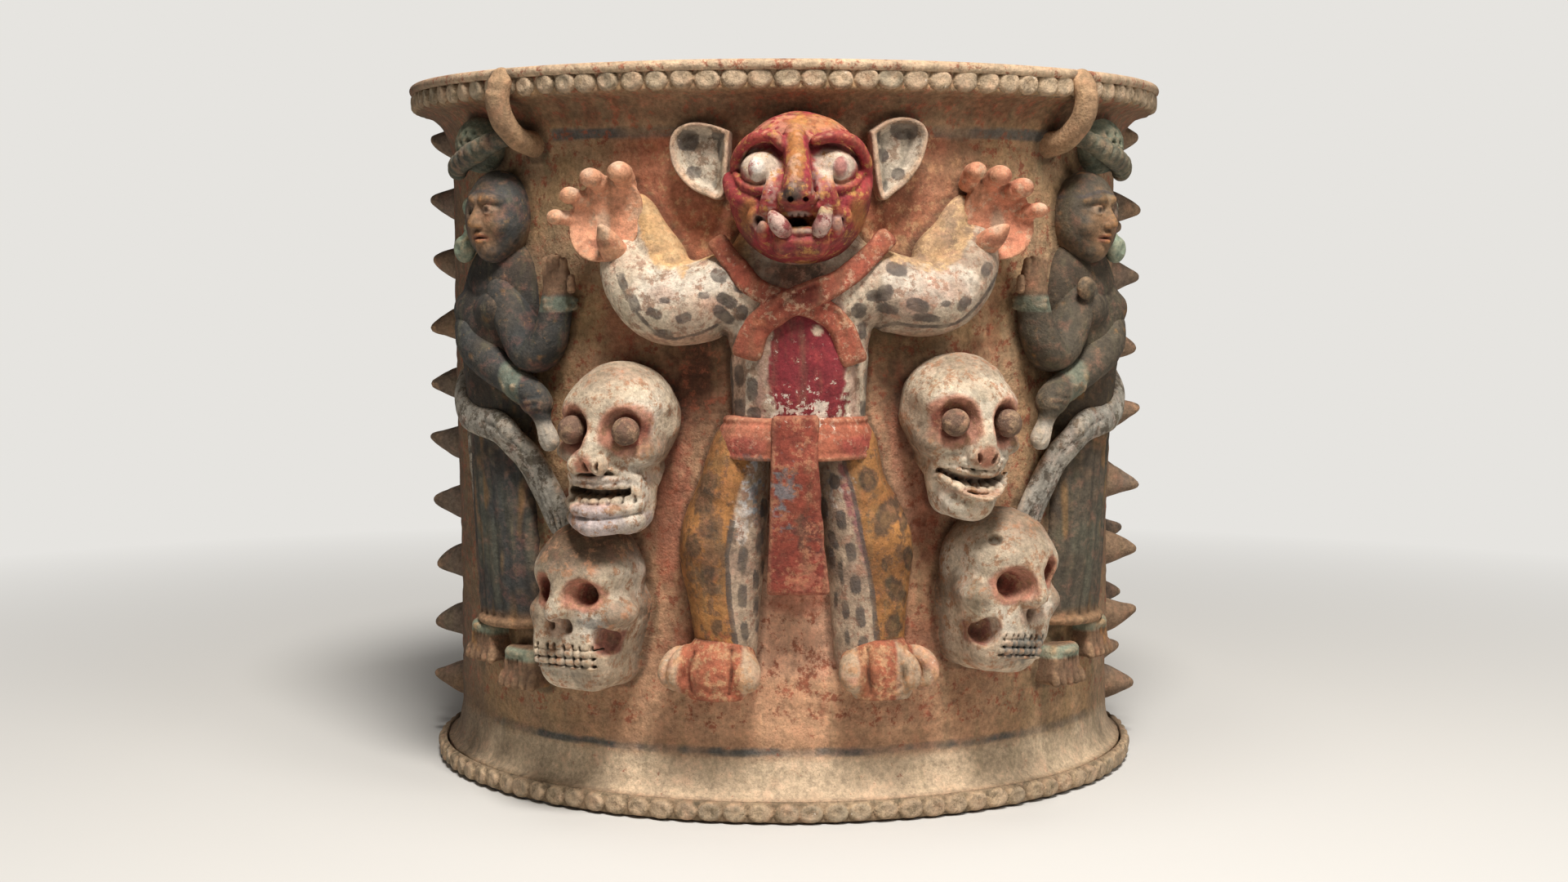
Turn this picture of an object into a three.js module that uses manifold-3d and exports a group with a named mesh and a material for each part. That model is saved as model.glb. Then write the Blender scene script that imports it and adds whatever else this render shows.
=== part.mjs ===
// A hand-built earthenware funerary urn: a coil-built cylinder with a flared rim and foot, and the pieces of
// clay that were modelled separately and luted on to it: a feline with raised arms, four skulls, two standing
// men, loop handles for tying on a lid, columns of spines, and two thumb-pressed strips.
// Millimetres, +Z up. The origin is the middle of the underside, and the feline faces -Y.
import * as THREE from "three";
import { mergeVertices } from "three/addons/utils/BufferGeometryUtils.js";
import Module from "manifold-3d";

const wasm = await Module();
wasm.setup();

// Driving dimensions of the vessel
const URN_HEIGHT = 500;
const WALL_RADIUS = 247; // outside, half way up
const WALL_TAPER = 2.5; // how much wider the wall is near the rim, and narrower near the foot
const WALL_THICKNESS = 13;
const FLOOR_THICKNESS = 16;
const RIM_FLARE = 26; // how far the rim stands out from the middle of the wall
const RIM_FLARE_HEIGHT = 50;
const FOOT_FLARE = 12;
const FOOT_FLARE_HEIGHT = 50;
const LIP_ROLL = 4; // the rolled lip above the rim strip
const FACETS = 40; // round the vessel
const GAP = 0.3; // between pieces that touch

// The thumb-pressed strips
const STRIP_DEPTH = 7.2;
const RIM_STRIP_HEIGHT = 16;
const FOOT_STRIP_HEIGHT = 14;
const STRIP_CREST = 0.55; // how far up the strip its crest lies, as a share of its height
const STRIP_LIFT = 1; // the foot strip clears the ground
const THUMB_PITCH = 17.3;
const THUMB_DEPTH = 2.4;

// The loop handles
const HANDLE_ANGLES = { front_left: -44.5, front_right: 43.5, back_left: -135.5, back_right: 136.5 };
const HANDLE_THICKNESS = 16;
const HANDLE_REACH = 5; // how far the loop's middle line stands out past the rim strip
const HANDLE_DROP = 50; // from the lip to where the loop meets the wall

// The columns of spines
const SPINE_ROWS = {
  left: { angle: -98, count: 10, low: 47, high: 462 },
  right_front: { angle: 92.5, count: 9, low: 44, high: 466 },
  right_back: { angle: 101.5, count: 9, low: 62, high: 446 },
};
const SPINE_LENGTH = 31;
const SPINE_RADIUS = 15;
const SPINE_BED_WIDTH = 12;
const SPINE_BED_HEIGHT = 3;

// Places of the figures: angles in degrees from the front, positive to the right, and heights off the ground
const SKULLS = {
  upper_left: { angle: -25.2, eyes: 263, roll: 0, chin: 69, jaw: 27, staring: true },
  upper_right: { angle: 22.5, eyes: 268, roll: 3, chin: 63, jaw: 23, staring: true },
  lower_left: { angle: -29.8, eyes: 157, roll: 0, chin: 69, jaw: 28, staring: false },
  lower_right: { angle: 29.4, eyes: 165, roll: 7, chin: 66, jaw: 27, staring: false },
};
const SKULL_WIDTH = 74;
const SKULL_DEPTH = 64;
const SOCKET_RADIUS = 14;
const SOCKET_SPACING = 39;
const EYEBALL_RADIUS = 9;
const HEAD_LEVEL = 417; // the middle of the feline's head
const HEAD_WIDTH = 94;
const HEAD_HEIGHT = 102;
const FACE_SHIFT = -3; // the feline's face looks a little to one side
const FELINE_EYE = { across: 23, height: 56, lift: 13, size: 11 };
const EAR_LIFT = 4; // the right ear sits a little higher
const TORSO_TOP = 378;
const BELT_LEVEL = 257;
const BELT_HEIGHT = 25;
const SOLE_LEVEL = 90;
const BYSTANDER_ANGLE = 52;

// The feline's raised hands: [angle, height above the ground] of each part
const HAND_LEFT = {
  palm: [-26.6, 405],
  lean: -14,
  tips: [[-23.5, 433], [-28.2, 429], [-30.4, 417], [-31.8, 401]],
  thumb: { base: [-25.4, 384], tip: [-24.2, 393] },
};
const HAND_RIGHT = {
  palm: [28.8, 406],
  lean: 12,
  tips: [[24.8, 432], [28, 433], [31.4, 424], [33.4, 409]],
  thumb: { base: [25.6, 387], tip: [26, 395] },
};

const rad = THREE.MathUtils.degToRad;

// Radius of the outside of the plain wall at a height, without its flares
const wallRadius = (z) => WALL_RADIUS + WALL_TAPER * THREE.MathUtils.clamp((2 * z) / URN_HEIGHT - 1, -1, 1);
const rimRadius = WALL_RADIUS + RIM_FLARE;
const footRadius = WALL_RADIUS + FOOT_FLARE;

// A point a height off the wall: by its angle round the vessel, or by its distance across from the front line
const around = (angle, height, z) => {
  const r = wallRadius(z) + height;
  return new THREE.Vector3(r * Math.sin(rad(angle)), -r * Math.cos(rad(angle)), z);
};
const across = (x, height, z) => new THREE.Vector3(x, -(WALL_RADIUS + height), z);

// The figures are drawn for an urn of this height and radius. On another one they keep their widths, and
// their levels follow its height.
const DRAWN_HEIGHT = 500;
const DRAWN_RADIUS = 247;
const arc = (angle) => (angle * DRAWN_RADIUS) / WALL_RADIUS;
const level = (z) => (z * URN_HEIGHT) / DRAWN_HEIGHT;
const figure = (angle, height, z) => around(arc(angle), height, level(z));
const headCentre = level(HEAD_LEVEL);

// A closed geometry as a solid, with its faces turned outwards
function solid(geometry) {
  const bare = geometry.index ? geometry.toNonIndexed() : geometry.clone();
  for (const name of Object.keys(bare.attributes)) if (name !== "position") bare.deleteAttribute(name);
  const merged = mergeVertices(bare, 1e-4);
  const corners = new Uint32Array(merged.index.array);
  const points = merged.attributes.position.array;
  const facts = { numProp: 3, vertProperties: points, triVerts: corners };
  const closed = () => new wasm.Manifold(new wasm.Mesh(facts));
  const made = closed();
  if (made.volume() > 0) return made;
  for (let i = 0; i < corners.length; i += 3) {
    const second = corners[i + 1];
    corners[i + 1] = corners[i + 2];
    corners[i + 2] = second;
  }
  return closed();
}

const join = (...solids) => solids.reduce((all, one) => all.add(one));

const cut = (body, ...cutters) => cutters.reduce((left, one) => left.subtract(one), body);

// The largest body of a solid, without the crumbs that a cut leaves beside it
function whole(made) {
  return made.decompose().reduce((best, one) => (one.volume() > best.volume() ? one : best));
}

// One coordinate of a point on a circle that is squared off: 2 leaves it round, and more makes it boxier
function squared(v, w, box) {
  const radius = Math.hypot(v, w);
  if (Math.abs(v) < 1e-9) return 0;
  return Math.sign(v) * Math.abs(v) ** (2 / box) * radius ** (1 - 2 / box);
}

// A roll of clay laid along stations of [angle or x, height off the wall, z, half width, half depth].
// Half widths lie along the wall and half depths stand off it. Ends are round, as long as
// round says, or flat where blunt is set.
function roll(place, stations, { grow = 0, sides = 8, steps = 1, blunt = false, round = 1, box = 2 } = {}) {
  const path = new THREE.CatmullRomCurve3(stations.map((s) => place(s[0], s[1], s[2])), false, "centripetal");
  const spans = steps * (stations.length - 1);
  const ring = [];
  const capRings = blunt ? [] : [0.8];
  ring.push(new THREE.Vector2(0, -1));
  capRings.toReversed().forEach((q) => ring.push(new THREE.Vector2(Math.sqrt(1 - q * q), -q)));
  if (blunt) ring.push(new THREE.Vector2(1, -1));
  for (let i = blunt ? 1 : 0; i <= spans - (blunt ? 1 : 0); i++) ring.push(new THREE.Vector2(1, i / spans));
  if (blunt) ring.push(new THREE.Vector2(1, 2));
  capRings.forEach((q) => ring.push(new THREE.Vector2(Math.sqrt(1 - q * q), 1 + q)));
  ring.push(new THREE.Vector2(0, 2));
  const made = new THREE.LatheGeometry(dedupe(ring), sides);
  const position = made.attributes.position;
  const size = (t, k) => {
    const f = t * (stations.length - 1);
    const i = Math.min(Math.floor(f), stations.length - 2);
    return THREE.MathUtils.lerp(stations[i][k], stations[i + 1][k], f - i) + grow;
  };
  for (let i = 0; i < position.count; i++) {
    const u = position.getY(i);
    const t = THREE.MathUtils.clamp(u, 0, 1);
    const centre = path.getPoint(t);
    const along = path.getTangent(t);
    const out = new THREE.Vector3(centre.x, centre.y, 0).normalize();
    const side = new THREE.Vector3().crossVectors(along, out);
    if (side.length() < 0.2) side.set(0, 0, 1).cross(along);
    side.normalize();
    const off = new THREE.Vector3().crossVectors(side, along).normalize();
    const width = size(t, 3);
    const depth = size(t, 4);
    const reach = blunt ? grow : Math.min(width, depth) * round;
    if (u < 0) centre.addScaledVector(along, u * reach);
    if (u > 1) centre.addScaledVector(along, (u - 1) * reach);
    const wide = squared(position.getX(i), position.getZ(i), box);
    const deep = squared(position.getZ(i), position.getX(i), box);
    centre.addScaledVector(side, wide * width).addScaledVector(off, deep * depth);
    position.setXYZ(i, centre.x, centre.y, centre.z);
  }
  return solid(made);
}

// The profile's points in order, without repeats
function dedupe(points) {
  return points.filter((p, i) => i === 0 || p.distanceTo(points[i - 1]) > 1e-6);
}

// An ellipsoid of clay: half sizes across, off the wall and up, then turned in the plane of the wall
function ball(place, [a, height, z], [wide, deep, tall], { grow = 0, turn = 0, sides = 10, rings = 7 } = {}) {
  const made = new THREE.SphereGeometry(1, sides, rings);
  made.rotateX(Math.PI / 2);
  made.scale(wide + grow, deep + grow, tall + grow);
  made.rotateY(rad(turn));
  const centre = place(a, height, z);
  if (place !== across) made.rotateZ(Math.atan2(centre.x, -centre.y));
  made.translate(centre.x, centre.y, centre.z);
  return solid(made);
}

// Half sizes of a hollow that closes up as its piece grows
const shrunk = (sizes, grow) => sizes.map((size) => size - grow);

// A round profile turned about the vessel's axis
function turned(profile, facets = FACETS) {
  const made = new THREE.LatheGeometry(profile.map(([r, z]) => new THREE.Vector2(r, z)), facets);
  made.rotateX(Math.PI / 2);
  return solid(made);
}

// Both quarter-curve flares of the wall, as [radius, z] points from bottom to top
function flareUp(from, to, bottom, top, points = 4) {
  return Array.from({ length: points }, (_, i) => {
    const q = (i / (points - 1)) * (Math.PI / 2);
    return [from + (to - from) * (1 - Math.cos(q)), bottom + (top - bottom) * Math.sin(q)];
  });
}

const lipBottom = URN_HEIGHT - RIM_STRIP_HEIGHT - LIP_ROLL;
const flareBottom = lipBottom - RIM_FLARE_HEIGHT * 0.75;
const footTop = FOOT_STRIP_HEIGHT + STRIP_LIFT;

const lip = [
  [rimRadius, URN_HEIGHT - LIP_ROLL],
  [rimRadius + LIP_ROLL, URN_HEIGHT - LIP_ROLL * 0.6],
  [rimRadius + LIP_ROLL * 0.8, URN_HEIGHT],
];

function outsideProfile(grow) {
  const foot = flareUp(wallRadius(0), footRadius, FOOT_FLARE_HEIGHT, footTop).toReversed();
  const rim = flareUp(wallRadius(URN_HEIGHT), rimRadius, flareBottom, lipBottom);
  return [[footRadius, 0], ...foot, ...rim, ...lip].map(([r, z]) => [r + grow, z]);
}

// The vessel is built up in three courses of clay: foot, wall and rim
function vesselFoot() {
  const outside = flareUp(wallRadius(0), footRadius, FOOT_FLARE_HEIGHT, footTop).toReversed();
  const inside = wallRadius(0) - WALL_THICKNESS;
  return turned([[footRadius, 0], ...outside, [inside, FOOT_FLARE_HEIGHT], [inside, 0], [footRadius, 0]]);
}

function vesselWall() {
  const low = [wallRadius(0), FOOT_FLARE_HEIGHT + GAP];
  const high = [wallRadius(URN_HEIGHT), flareBottom - GAP];
  const inner = ([r, z]) => [r - WALL_THICKNESS, z];
  return turned([low, high, inner(high), inner(low), low]);
}

function vesselRim() {
  const outside = flareUp(wallRadius(URN_HEIGHT), rimRadius, flareBottom, lipBottom);
  const inside = flareUp(wallRadius(URN_HEIGHT), rimRadius, flareBottom, lipBottom, 3)
    .map(([r, z]) => [r - WALL_THICKNESS, z])
    .toReversed();
  return turned([...outside, ...lip, [rimRadius - WALL_THICKNESS, URN_HEIGHT], ...inside, outside[0]]);
}

// Everything inside the wall's outer face, to trim what is luted on to it
function wallCore() {
  const [[foot], ...rest] = outsideProfile(GAP);
  return turned([[0, -1], [foot, -1], ...rest, [0, URN_HEIGHT]]);
}

function vesselFloor() {
  const edge = wallRadius(0) - WALL_THICKNESS - GAP;
  return turned([[0, 0], [edge, 0], [edge, FLOOR_THICKNESS], [0, FLOOR_THICKNESS]]);
}

// A ring of clay pressed with a thumb every few millimetres: two stations round it for each press
function thumbStrip(inner, bottom, height, grow = 0) {
  const presses = Math.round((2 * Math.PI * (inner + STRIP_DEPTH)) / THUMB_PITCH);
  const profile = [
    [inner - grow, bottom - grow],
    [inner + STRIP_DEPTH + grow, bottom + height * STRIP_CREST],
    [inner - grow, bottom + height + grow],
    [inner - grow, bottom - grow],
  ];
  const made = new THREE.LatheGeometry(profile.map(([r, z]) => new THREE.Vector2(r, z)), presses * 2);
  const position = made.attributes.position;
  for (let i = 0; i < position.count; i++) {
    const step = Math.round((Math.atan2(position.getX(i), position.getZ(i)) / (2 * Math.PI)) * presses * 2);
    const radius = Math.hypot(position.getX(i), position.getZ(i));
    const pressed = step % 2 && radius > inner + STRIP_DEPTH * 0.3;
    const k = pressed ? (radius - THUMB_DEPTH) / radius : 1;
    position.setX(i, position.getX(i) * k);
    position.setZ(i, position.getZ(i) * k);
  }
  made.rotateX(Math.PI / 2);
  return solid(made);
}

const rimStrip = (grow) =>
  thumbStrip(rimRadius + GAP, lipBottom + GAP, RIM_STRIP_HEIGHT - 2 * GAP, grow);
const footStrip = (grow) => thumbStrip(footRadius + GAP, STRIP_LIFT, FOOT_STRIP_HEIGHT, grow);

// A loop from the pressed strip down to the wall, standing off the hollow under the rim
function handle(angle, grow) {
  const thick = HANDLE_THICKNESS / 2;
  const crest = RIM_FLARE + STRIP_DEPTH + HANDLE_REACH;
  const low = URN_HEIGHT - HANDLE_DROP;
  return roll(
    around,
    [
      [angle, crest - 4, URN_HEIGHT - thick - 1, thick + 2, thick * 0.6],
      [angle, crest, lipBottom, thick, thick],
      [angle, crest - 6, low + thick * 2, thick, thick],
      [angle, crest * 0.5, low + 3, thick, thick],
      [angle, 0, low, thick + 2, thick],
    ],
    { grow, sides: 6, steps: 2, blunt: true },
  );
}

// A low bed of clay with a column of spines on it
function spineRow({ angle, count, low, high }, grow) {
  const overlap = 4;
  const bed = roll(
    around,
    [
      [angle, 0, low - SPINE_RADIUS, SPINE_BED_WIDTH, SPINE_BED_HEIGHT],
      [angle, 0, high, SPINE_BED_WIDTH, SPINE_BED_HEIGHT],
    ],
    { grow, sides: 4, blunt: true },
  );
  const spines = Array.from({ length: count }, (_, i) => {
    const z = low + ((high - low) * i) / (count - 1);
    const spine = new THREE.LatheGeometry(
      [
        [0, -overlap],
        [SPINE_RADIUS, -overlap],
        [0, SPINE_LENGTH],
      ].map(([r, y]) => new THREE.Vector2(r, y)),
      5,
    );
    spine.rotateZ(Math.PI);
    const foot = around(angle, 0, z);
    spine.rotateZ(rad(angle));
    spine.translate(foot.x, foot.y, foot.z);
    return solid(spine);
  });
  return join(bed, ...spines);
}

// The feline
const felineTorso = (grow) =>
  roll(
    figure,
    [
      [0, 4, BELT_LEVEL + 2, 44, 32],
      [0, 4, 285, 45, 34],
      [0, 4, 314, 47, 36],
      [0, 4, 342, 54, 35],
      [0, 2, TORSO_TOP - 12, 44, 30],
    ],
    { grow },
  );

const armLeft = (grow) =>
  roll(
    figure,
    [
      [-8, 8, 356, 24, 24],
      [-14.5, 12, 345, 26, 25],
      [-20.5, 14, 346, 22, 23],
      [-23.6, 16, 366, 18, 19],
      [-25.4, 20, 388, 15, 16],
    ],
    { grow },
  );

const armRight = (grow) =>
  roll(
    figure,
    [
      [8, 8, 358, 24, 24],
      [14.5, 12, 350, 25, 25],
      [21.5, 14, 352, 22, 23],
      [25.4, 16, 370, 18, 19],
      [27.6, 20, 390, 15, 16],
    ],
    { grow },
  );

// A cupped palm on the wall with four stub fingers round its edge and a claw for a thumb
function hand({ palm, lean, tips, thumb }, grow) {
  const [angle, z] = palm;
  const pad = ball(figure, [angle, 10, z], [22, 25, 27], { grow, turn: lean, sides: 8, rings: 5 });
  const hollow = ball(figure, [angle, 42, z], shrunk([17, 14, 21], grow), { turn: lean, sides: 6, rings: 4 });
  const fingers = tips.map(([a, top]) =>
    roll(
      figure,
      [
        [angle + (a - angle) * 0.72, 24, z + (top - z) * 0.72, 7.5, 8],
        [a, 42, top - 1, 7, 7],
      ],
      { grow, sides: 4 },
    ),
  );
  const claw = roll(
    figure,
    [
      [thumb.base[0], 22, thumb.base[1], 9, 9],
      [thumb.tip[0], 44, thumb.tip[1], 3, 3],
    ],
    { grow, sides: 4 },
  );
  return join(cut(pad, hollow), ...fingers, claw);
}

const leg = (side, grow) =>
  roll(
    figure,
    [
      [side * 7.8, 4, BELT_LEVEL - 12, 20, 27],
      [side * 9.4, 5, 222, 23, 28],
      [side * 11, 5, 186, 28, 28],
      [side * 10.8, 4, 148, 24, 25],
      [side * 10.7, 3, SOLE_LEVEL + 24, 20, 22],
    ],
    { grow },
  );

// A paw seen from the front, with its claws curled up at both ends
function paw(side, grow) {
  const knuckles = SOLE_LEVEL + 13;
  const middle = side * 12.8;
  return join(
    ball(figure, [middle, 8, knuckles], [29, 26, 14], { grow, sides: 8, rings: 5 }),
    ball(figure, [side * 18.2, 18, knuckles + 1], [9, 14, 13], { grow, sides: 5, rings: 4 }),
    ball(figure, [side * 15.6, 27, knuckles], [8, 11, 12], { grow, sides: 5, rings: 4 }),
    ball(figure, [side * 7.6, 24, knuckles + 1], [9, 12, 12], { grow, sides: 5, rings: 4 }),
  );
}

const belt = (grow) =>
  roll(
    figure,
    [
      [0, 4, BELT_LEVEL - BELT_HEIGHT / 2, 54, 42],
      [0, 4, BELT_LEVEL + BELT_HEIGHT / 2, 49, 38],
    ],
    { grow, sides: 10, blunt: true },
  );

const apron = (grow) =>
  roll(
    figure,
    [
      [-0.8, 43, BELT_LEVEL + BELT_HEIGHT / 2 + 3, 15, 5],
      [-0.8, 43, 240, 15.5, 5],
      [-0.6, 34, 200, 17, 5],
      [-0.3, 25, 156, 19.5, 5],
    ],
    { grow, blunt: true, box: 5 },
  );

// The neckcloth: a band over each shoulder, crossing under the chin into the other side's tail
const scarfLeft = (grow) =>
  roll(
    figure,
    [
      [-12, 22, 384, 6.5, 5],
      [-8, 33, 366, 6.5, 5],
      [-1, 42, 350, 7, 5],
      [3.4, 41, 340, 8, 5],
      [6.2, 37, 309, 9, 5],
    ],
    { grow, sides: 6 },
  );
const scarfRight = (grow) =>
  roll(
    figure,
    [
      [12.8, 22, 386, 6.5, 5],
      [7.5, 35, 368, 6.5, 5],
      [1, 46, 352, 8, 6],
      [-4.2, 42, 342, 8, 5],
      [-7.4, 37, 314, 9, 5],
    ],
    { grow, sides: 6 },
  );

function felineHead(grow) {
  const skullcap = ball(across, [0, 24, headCentre], [HEAD_WIDTH / 2, 41, HEAD_HEIGHT / 2], {
    grow,
    sides: 10,
    rings: 7,
  });
  const muzzle = ball(across, [FACE_SHIFT, 42, headCentre - 14], [32, 32, 24], { grow, sides: 8, rings: 5 });
  const nose = roll(
    across,
    [
      [FACE_SHIFT - 3, 56, headCentre + 35, 6, 7],
      [FACE_SHIFT - 2, 67, headCentre + 14, 8, 9],
      [FACE_SHIFT - 2, 77, headCentre - 4, 10, 9],
    ],
    { grow, sides: 6 },
  );
  const brows = [-1, 1].map((side) =>
    roll(
      across,
      [
        [FACE_SHIFT + side * 38, 42, headCentre + 16, 5, 6],
        [FACE_SHIFT + side * 27, 52, headCentre + 28, 5, 6],
        [FACE_SHIFT + side * 12, 58, headCentre + 31, 5, 6],
      ],
      { grow, sides: 5 },
    ),
  );
  const whiskers = [-1, 1].map((side) =>
    ball(across, [FACE_SHIFT + side * 15.5, 64, headCentre - 2], [8, 10, 14], {
      grow,
      turn: side * -8,
      sides: 6,
      rings: 4,
    }),
  );
  const chin = roll(
    across,
    [
      [FACE_SHIFT - 13, 60, headCentre - 37, 9, 11],
      [FACE_SHIFT + 1, 63, headCentre - 37, 10, 12],
      [FACE_SHIFT + 15, 60, headCentre - 37, 9, 11],
    ],
    { grow, sides: 6 },
  );
  const lips = headCentre - 21;
  const mouth = ball(across, [FACE_SHIFT + 1, 74, lips], shrunk([18, 30, 7], grow), { sides: 8, rings: 4 });
  const sockets = [-1, 1].map((side) =>
    ball(
      across,
      [FACE_SHIFT + side * FELINE_EYE.across, FELINE_EYE.height + 6, headCentre + FELINE_EYE.lift],
      shrunk([FELINE_EYE.size + 2, FELINE_EYE.size + 2, FELINE_EYE.size + 1], grow),
      { sides: 7, rings: 4 },
    ),
  );
  return cut(join(skullcap, muzzle, nose, ...brows, ...whiskers, chin), mouth, ...sockets);
}

const felineEye = (side, grow) =>
  ball(
    across,
    [FACE_SHIFT + side * FELINE_EYE.across, FELINE_EYE.height - 1, headCentre + FELINE_EYE.lift],
    [FELINE_EYE.size, FELINE_EYE.size + 1, FELINE_EYE.size],
    { grow, sides: 7, rings: 5 },
  );

// The tusks stand up out of the lower jaw and lean apart
const tusk = (side, grow) =>
  roll(
    across,
    [
      [FACE_SHIFT + 1 + side * 13, 66, headCentre - 28, 6, 6],
      [FACE_SHIFT + 1 + side * 14, 75, headCentre - 20, 5.5, 5.5],
      [FACE_SHIFT + 1 + side * 16, 79, headCentre - 11, 3, 3],
    ],
    { grow, sides: 6 },
  );

// A cupped, leaf-shaped ear
function ear(side, grow) {
  const base = HEAD_LEVEL + (side > 0 ? EAR_LIFT : 0);
  const leaf = (rise, thin, more) =>
    roll(
      figure,
      [
        [side * 10.6, 9 + rise, base + 43 - thin, 6 - thin / 3, 8],
        [side * 13.2, 10 + rise, base + 33 - thin / 2, 19 - thin, 11],
        [side * 13.2, 9 + rise, base + 19, 19 - thin, 11],
        [side * 11.4, 8 + rise, base + 6 + thin, 6 - thin / 3, 8],
      ],
      { grow: more },
    );
  return cut(leaf(0, 0, grow), leaf(10, 4, -grow));
}

// A skull that looks straight out from the wall, in millimetres from the middle of its eyes
function skull({ eyes, chin, jaw, staring }, grow) {
  const half = SKULL_WIDTH / 2;
  const cranium = ball(across, [0, SKULL_DEPTH - 40, eyes + 5], [half, 40, 38], { grow });
  const face = roll(
    across,
    [
      [0, 26, eyes - 4, half * 0.86, 34],
      [0, 26, eyes - 26, half * 0.78, 36],
      [0, 24, eyes - chin * 0.62, jaw + 2, 34],
      [0, 20, eyes - chin + jaw * 0.4, jaw - 1, 31],
    ],
    { grow, round: 0.4 },
  );
  const sockets = [-1, 1].map((side) =>
    ball(
      across,
      [(side * SOCKET_SPACING) / 2, SKULL_DEPTH, eyes],
      shrunk([SOCKET_RADIUS, SOCKET_RADIUS * 1.1, SOCKET_RADIUS], grow),
      { sides: 8, rings: 5 },
    ),
  );
  const lips = eyes - chin * 0.59;
  const mouth = ball(across, [0, SKULL_DEPTH - 8, lips], shrunk([jaw * 0.86, 22, 3], grow), {
    sides: 8,
    rings: 4,
  });
  const nostrils = [-1, 1].map((side) =>
    ball(across, [side * 6.5, SKULL_DEPTH + 4, eyes - 23], shrunk([4, 14, 6], grow), { sides: 5, rings: 4 }),
  );
  const cheeks = [-1, 1].map((side) =>
    ball(across, [side * (half - 1), 44, eyes - 34], shrunk([10, 8, 10], grow), { sides: 6, rings: 4 }),
  );
  const body = cut(join(cranium, face), mouth, ...sockets);
  return staring ? body : cut(body, ...nostrils, ...cheeks);
}

const eyeball = ({ eyes }, side, grow) =>
  ball(
    across,
    [(side * SOCKET_SPACING) / 2, SKULL_DEPTH - SOCKET_RADIUS * 1.1 + EYEBALL_RADIUS + GAP, eyes],
    [EYEBALL_RADIUS, EYEBALL_RADIUS, EYEBALL_RADIUS],
    { grow, sides: 7, rings: 5 },
  );

// Turns a skull in the plane of the wall about its eyes, then round the vessel to its place
const setSkull = ({ angle, eyes, roll: tilt }, made) =>
  made
    .translate([0, 0, -eyes])
    .rotate([0, -tilt, 0])
    .translate([0, 0, eyes])
    .rotate([0, 0, angle]);

// The two standing men, each side the mirror of the other: angles count outwards from the middle one
const beside = (side, offset) => side * (BYSTANDER_ANGLE + offset);

const manHead = (side, grow) =>
  join(
    ball(figure, [beside(side, -1.5), 14, 402], [24, 24, 32], { grow, sides: 8, rings: 5 }),
    roll(
      figure,
      [
        [beside(side, -3), 32, 418, 4, 5],
        [beside(side, -3.2), 40, 402, 6, 5],
      ],
      { grow, sides: 5 },
    ),
    ball(figure, [beside(side, -2.6), 27, 382], [13, 12, 11], { grow, sides: 6, rings: 4 }),
  );

const manHat = (side, grow) =>
  join(
    ball(figure, [beside(side, 5), 8, 452], [26, 17, 20], { grow, sides: 8, rings: 5 }),
    roll(
      figure,
      [
        [beside(side, -6), 12, 458, 6, 7],
        [beside(side, 0), 26, 446, 8, 8],
        [beside(side, 8), 20, 434, 7, 7],
      ],
      { grow, sides: 6 },
    ),
  );

const earFlare = (side, grow) =>
  join(
    roll(
      figure,
      [
        [beside(side, 4.2), 14, 412, 6, 7],
        [beside(side, 5), 16, 386, 8, 8],
      ],
      { grow, sides: 6 },
    ),
    ball(figure, [beside(side, 5.6), 21, 380], [11, 7, 10], { grow, sides: 6, rings: 4 }),
  );

const manTorso = (side, grow) =>
  roll(
    figure,
    [
      [beside(side, 1), 4, 268, 32, 22],
      [beside(side, 1), 4, 300, 34, 25],
      [beside(side, 1), 4, 332, 40, 26],
      [beside(side, 0), 4, 356, 36, 20],
    ],
    { grow },
  );

const raisedArm = (side, grow) =>
  join(
    roll(
      figure,
      [
        [beside(side, -4), 14, 348, 13, 17],
        [beside(side, -9.6), 14, 306, 13, 17],
        [beside(side, -13.6), 14, 334, 9, 13],
        [beside(side, -15), 16, 352, 10, 11],
      ],
      { grow, sides: 6 },
    ),
    roll(
      figure,
      [
        [beside(side, -14.8), 16, 350, 10, 10],
        [beside(side, -15.4), 18, 368, 9, 6],
      ],
      { grow, box: 3 },
    ),
  );

// A round ornament on the right man's chest, where his raised arm starts
const chestBead = (side, grow) =>
  ball(figure, [beside(side, -6), 29, 353], [8, 5, 8], { grow, sides: 8, rings: 5 });

const loweredArm = (side, grow) =>
  join(
    roll(
      figure,
      [
        [beside(side, 4), 22, 326, 14, 13],
        [beside(side, -3.5), 24, 302, 13, 13],
        [beside(side, -9.5), 20, 284, 10, 11],
        [beside(side, -11.8), 20, 276, 9, 9],
      ],
      { grow, sides: 6 },
    ),
    roll(
      figure,
      [
        [beside(side, -11.6), 20, 276, 9, 9],
        [beside(side, -13.4), 18, 254, 7, 6],
      ],
      { grow, sides: 6 },
    ),
  );

const robe = (side, grow) =>
  roll(
    figure,
    [
      [beside(side, 1.6), 3, 258, 33, 22],
      [beside(side, 1.2), 3, 215, 35, 20],
      [beside(side, 0.8), 3, 160, 38, 17],
      [beside(side, 1), 2, 118, 36, 14],
    ],
    { grow, sides: 10, blunt: true },
  );

const sash = (side, grow) =>
  join(
    roll(
      figure,
      [
        [beside(side, 9.6), 12, 290, 8, 8],
        [beside(side, 4), 27, 266, 10, 7],
        [beside(side, -3.5), 24, 258, 11, 7],
        [beside(side, -8), 12, 234, 11, 8],
        [beside(side, -12.6), 4, 192, 11, 8],
      ],
      { grow, sides: 6 },
    ),
    roll(
      figure,
      [
        [beside(side, 9.8), 8, 290, 8, 9],
        [beside(side, 11), 4, 236, 6, 7],
        [beside(side, 9.6), 2, 156, 5, 6],
      ],
      { grow, sides: 5 },
    ),
  );

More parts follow.
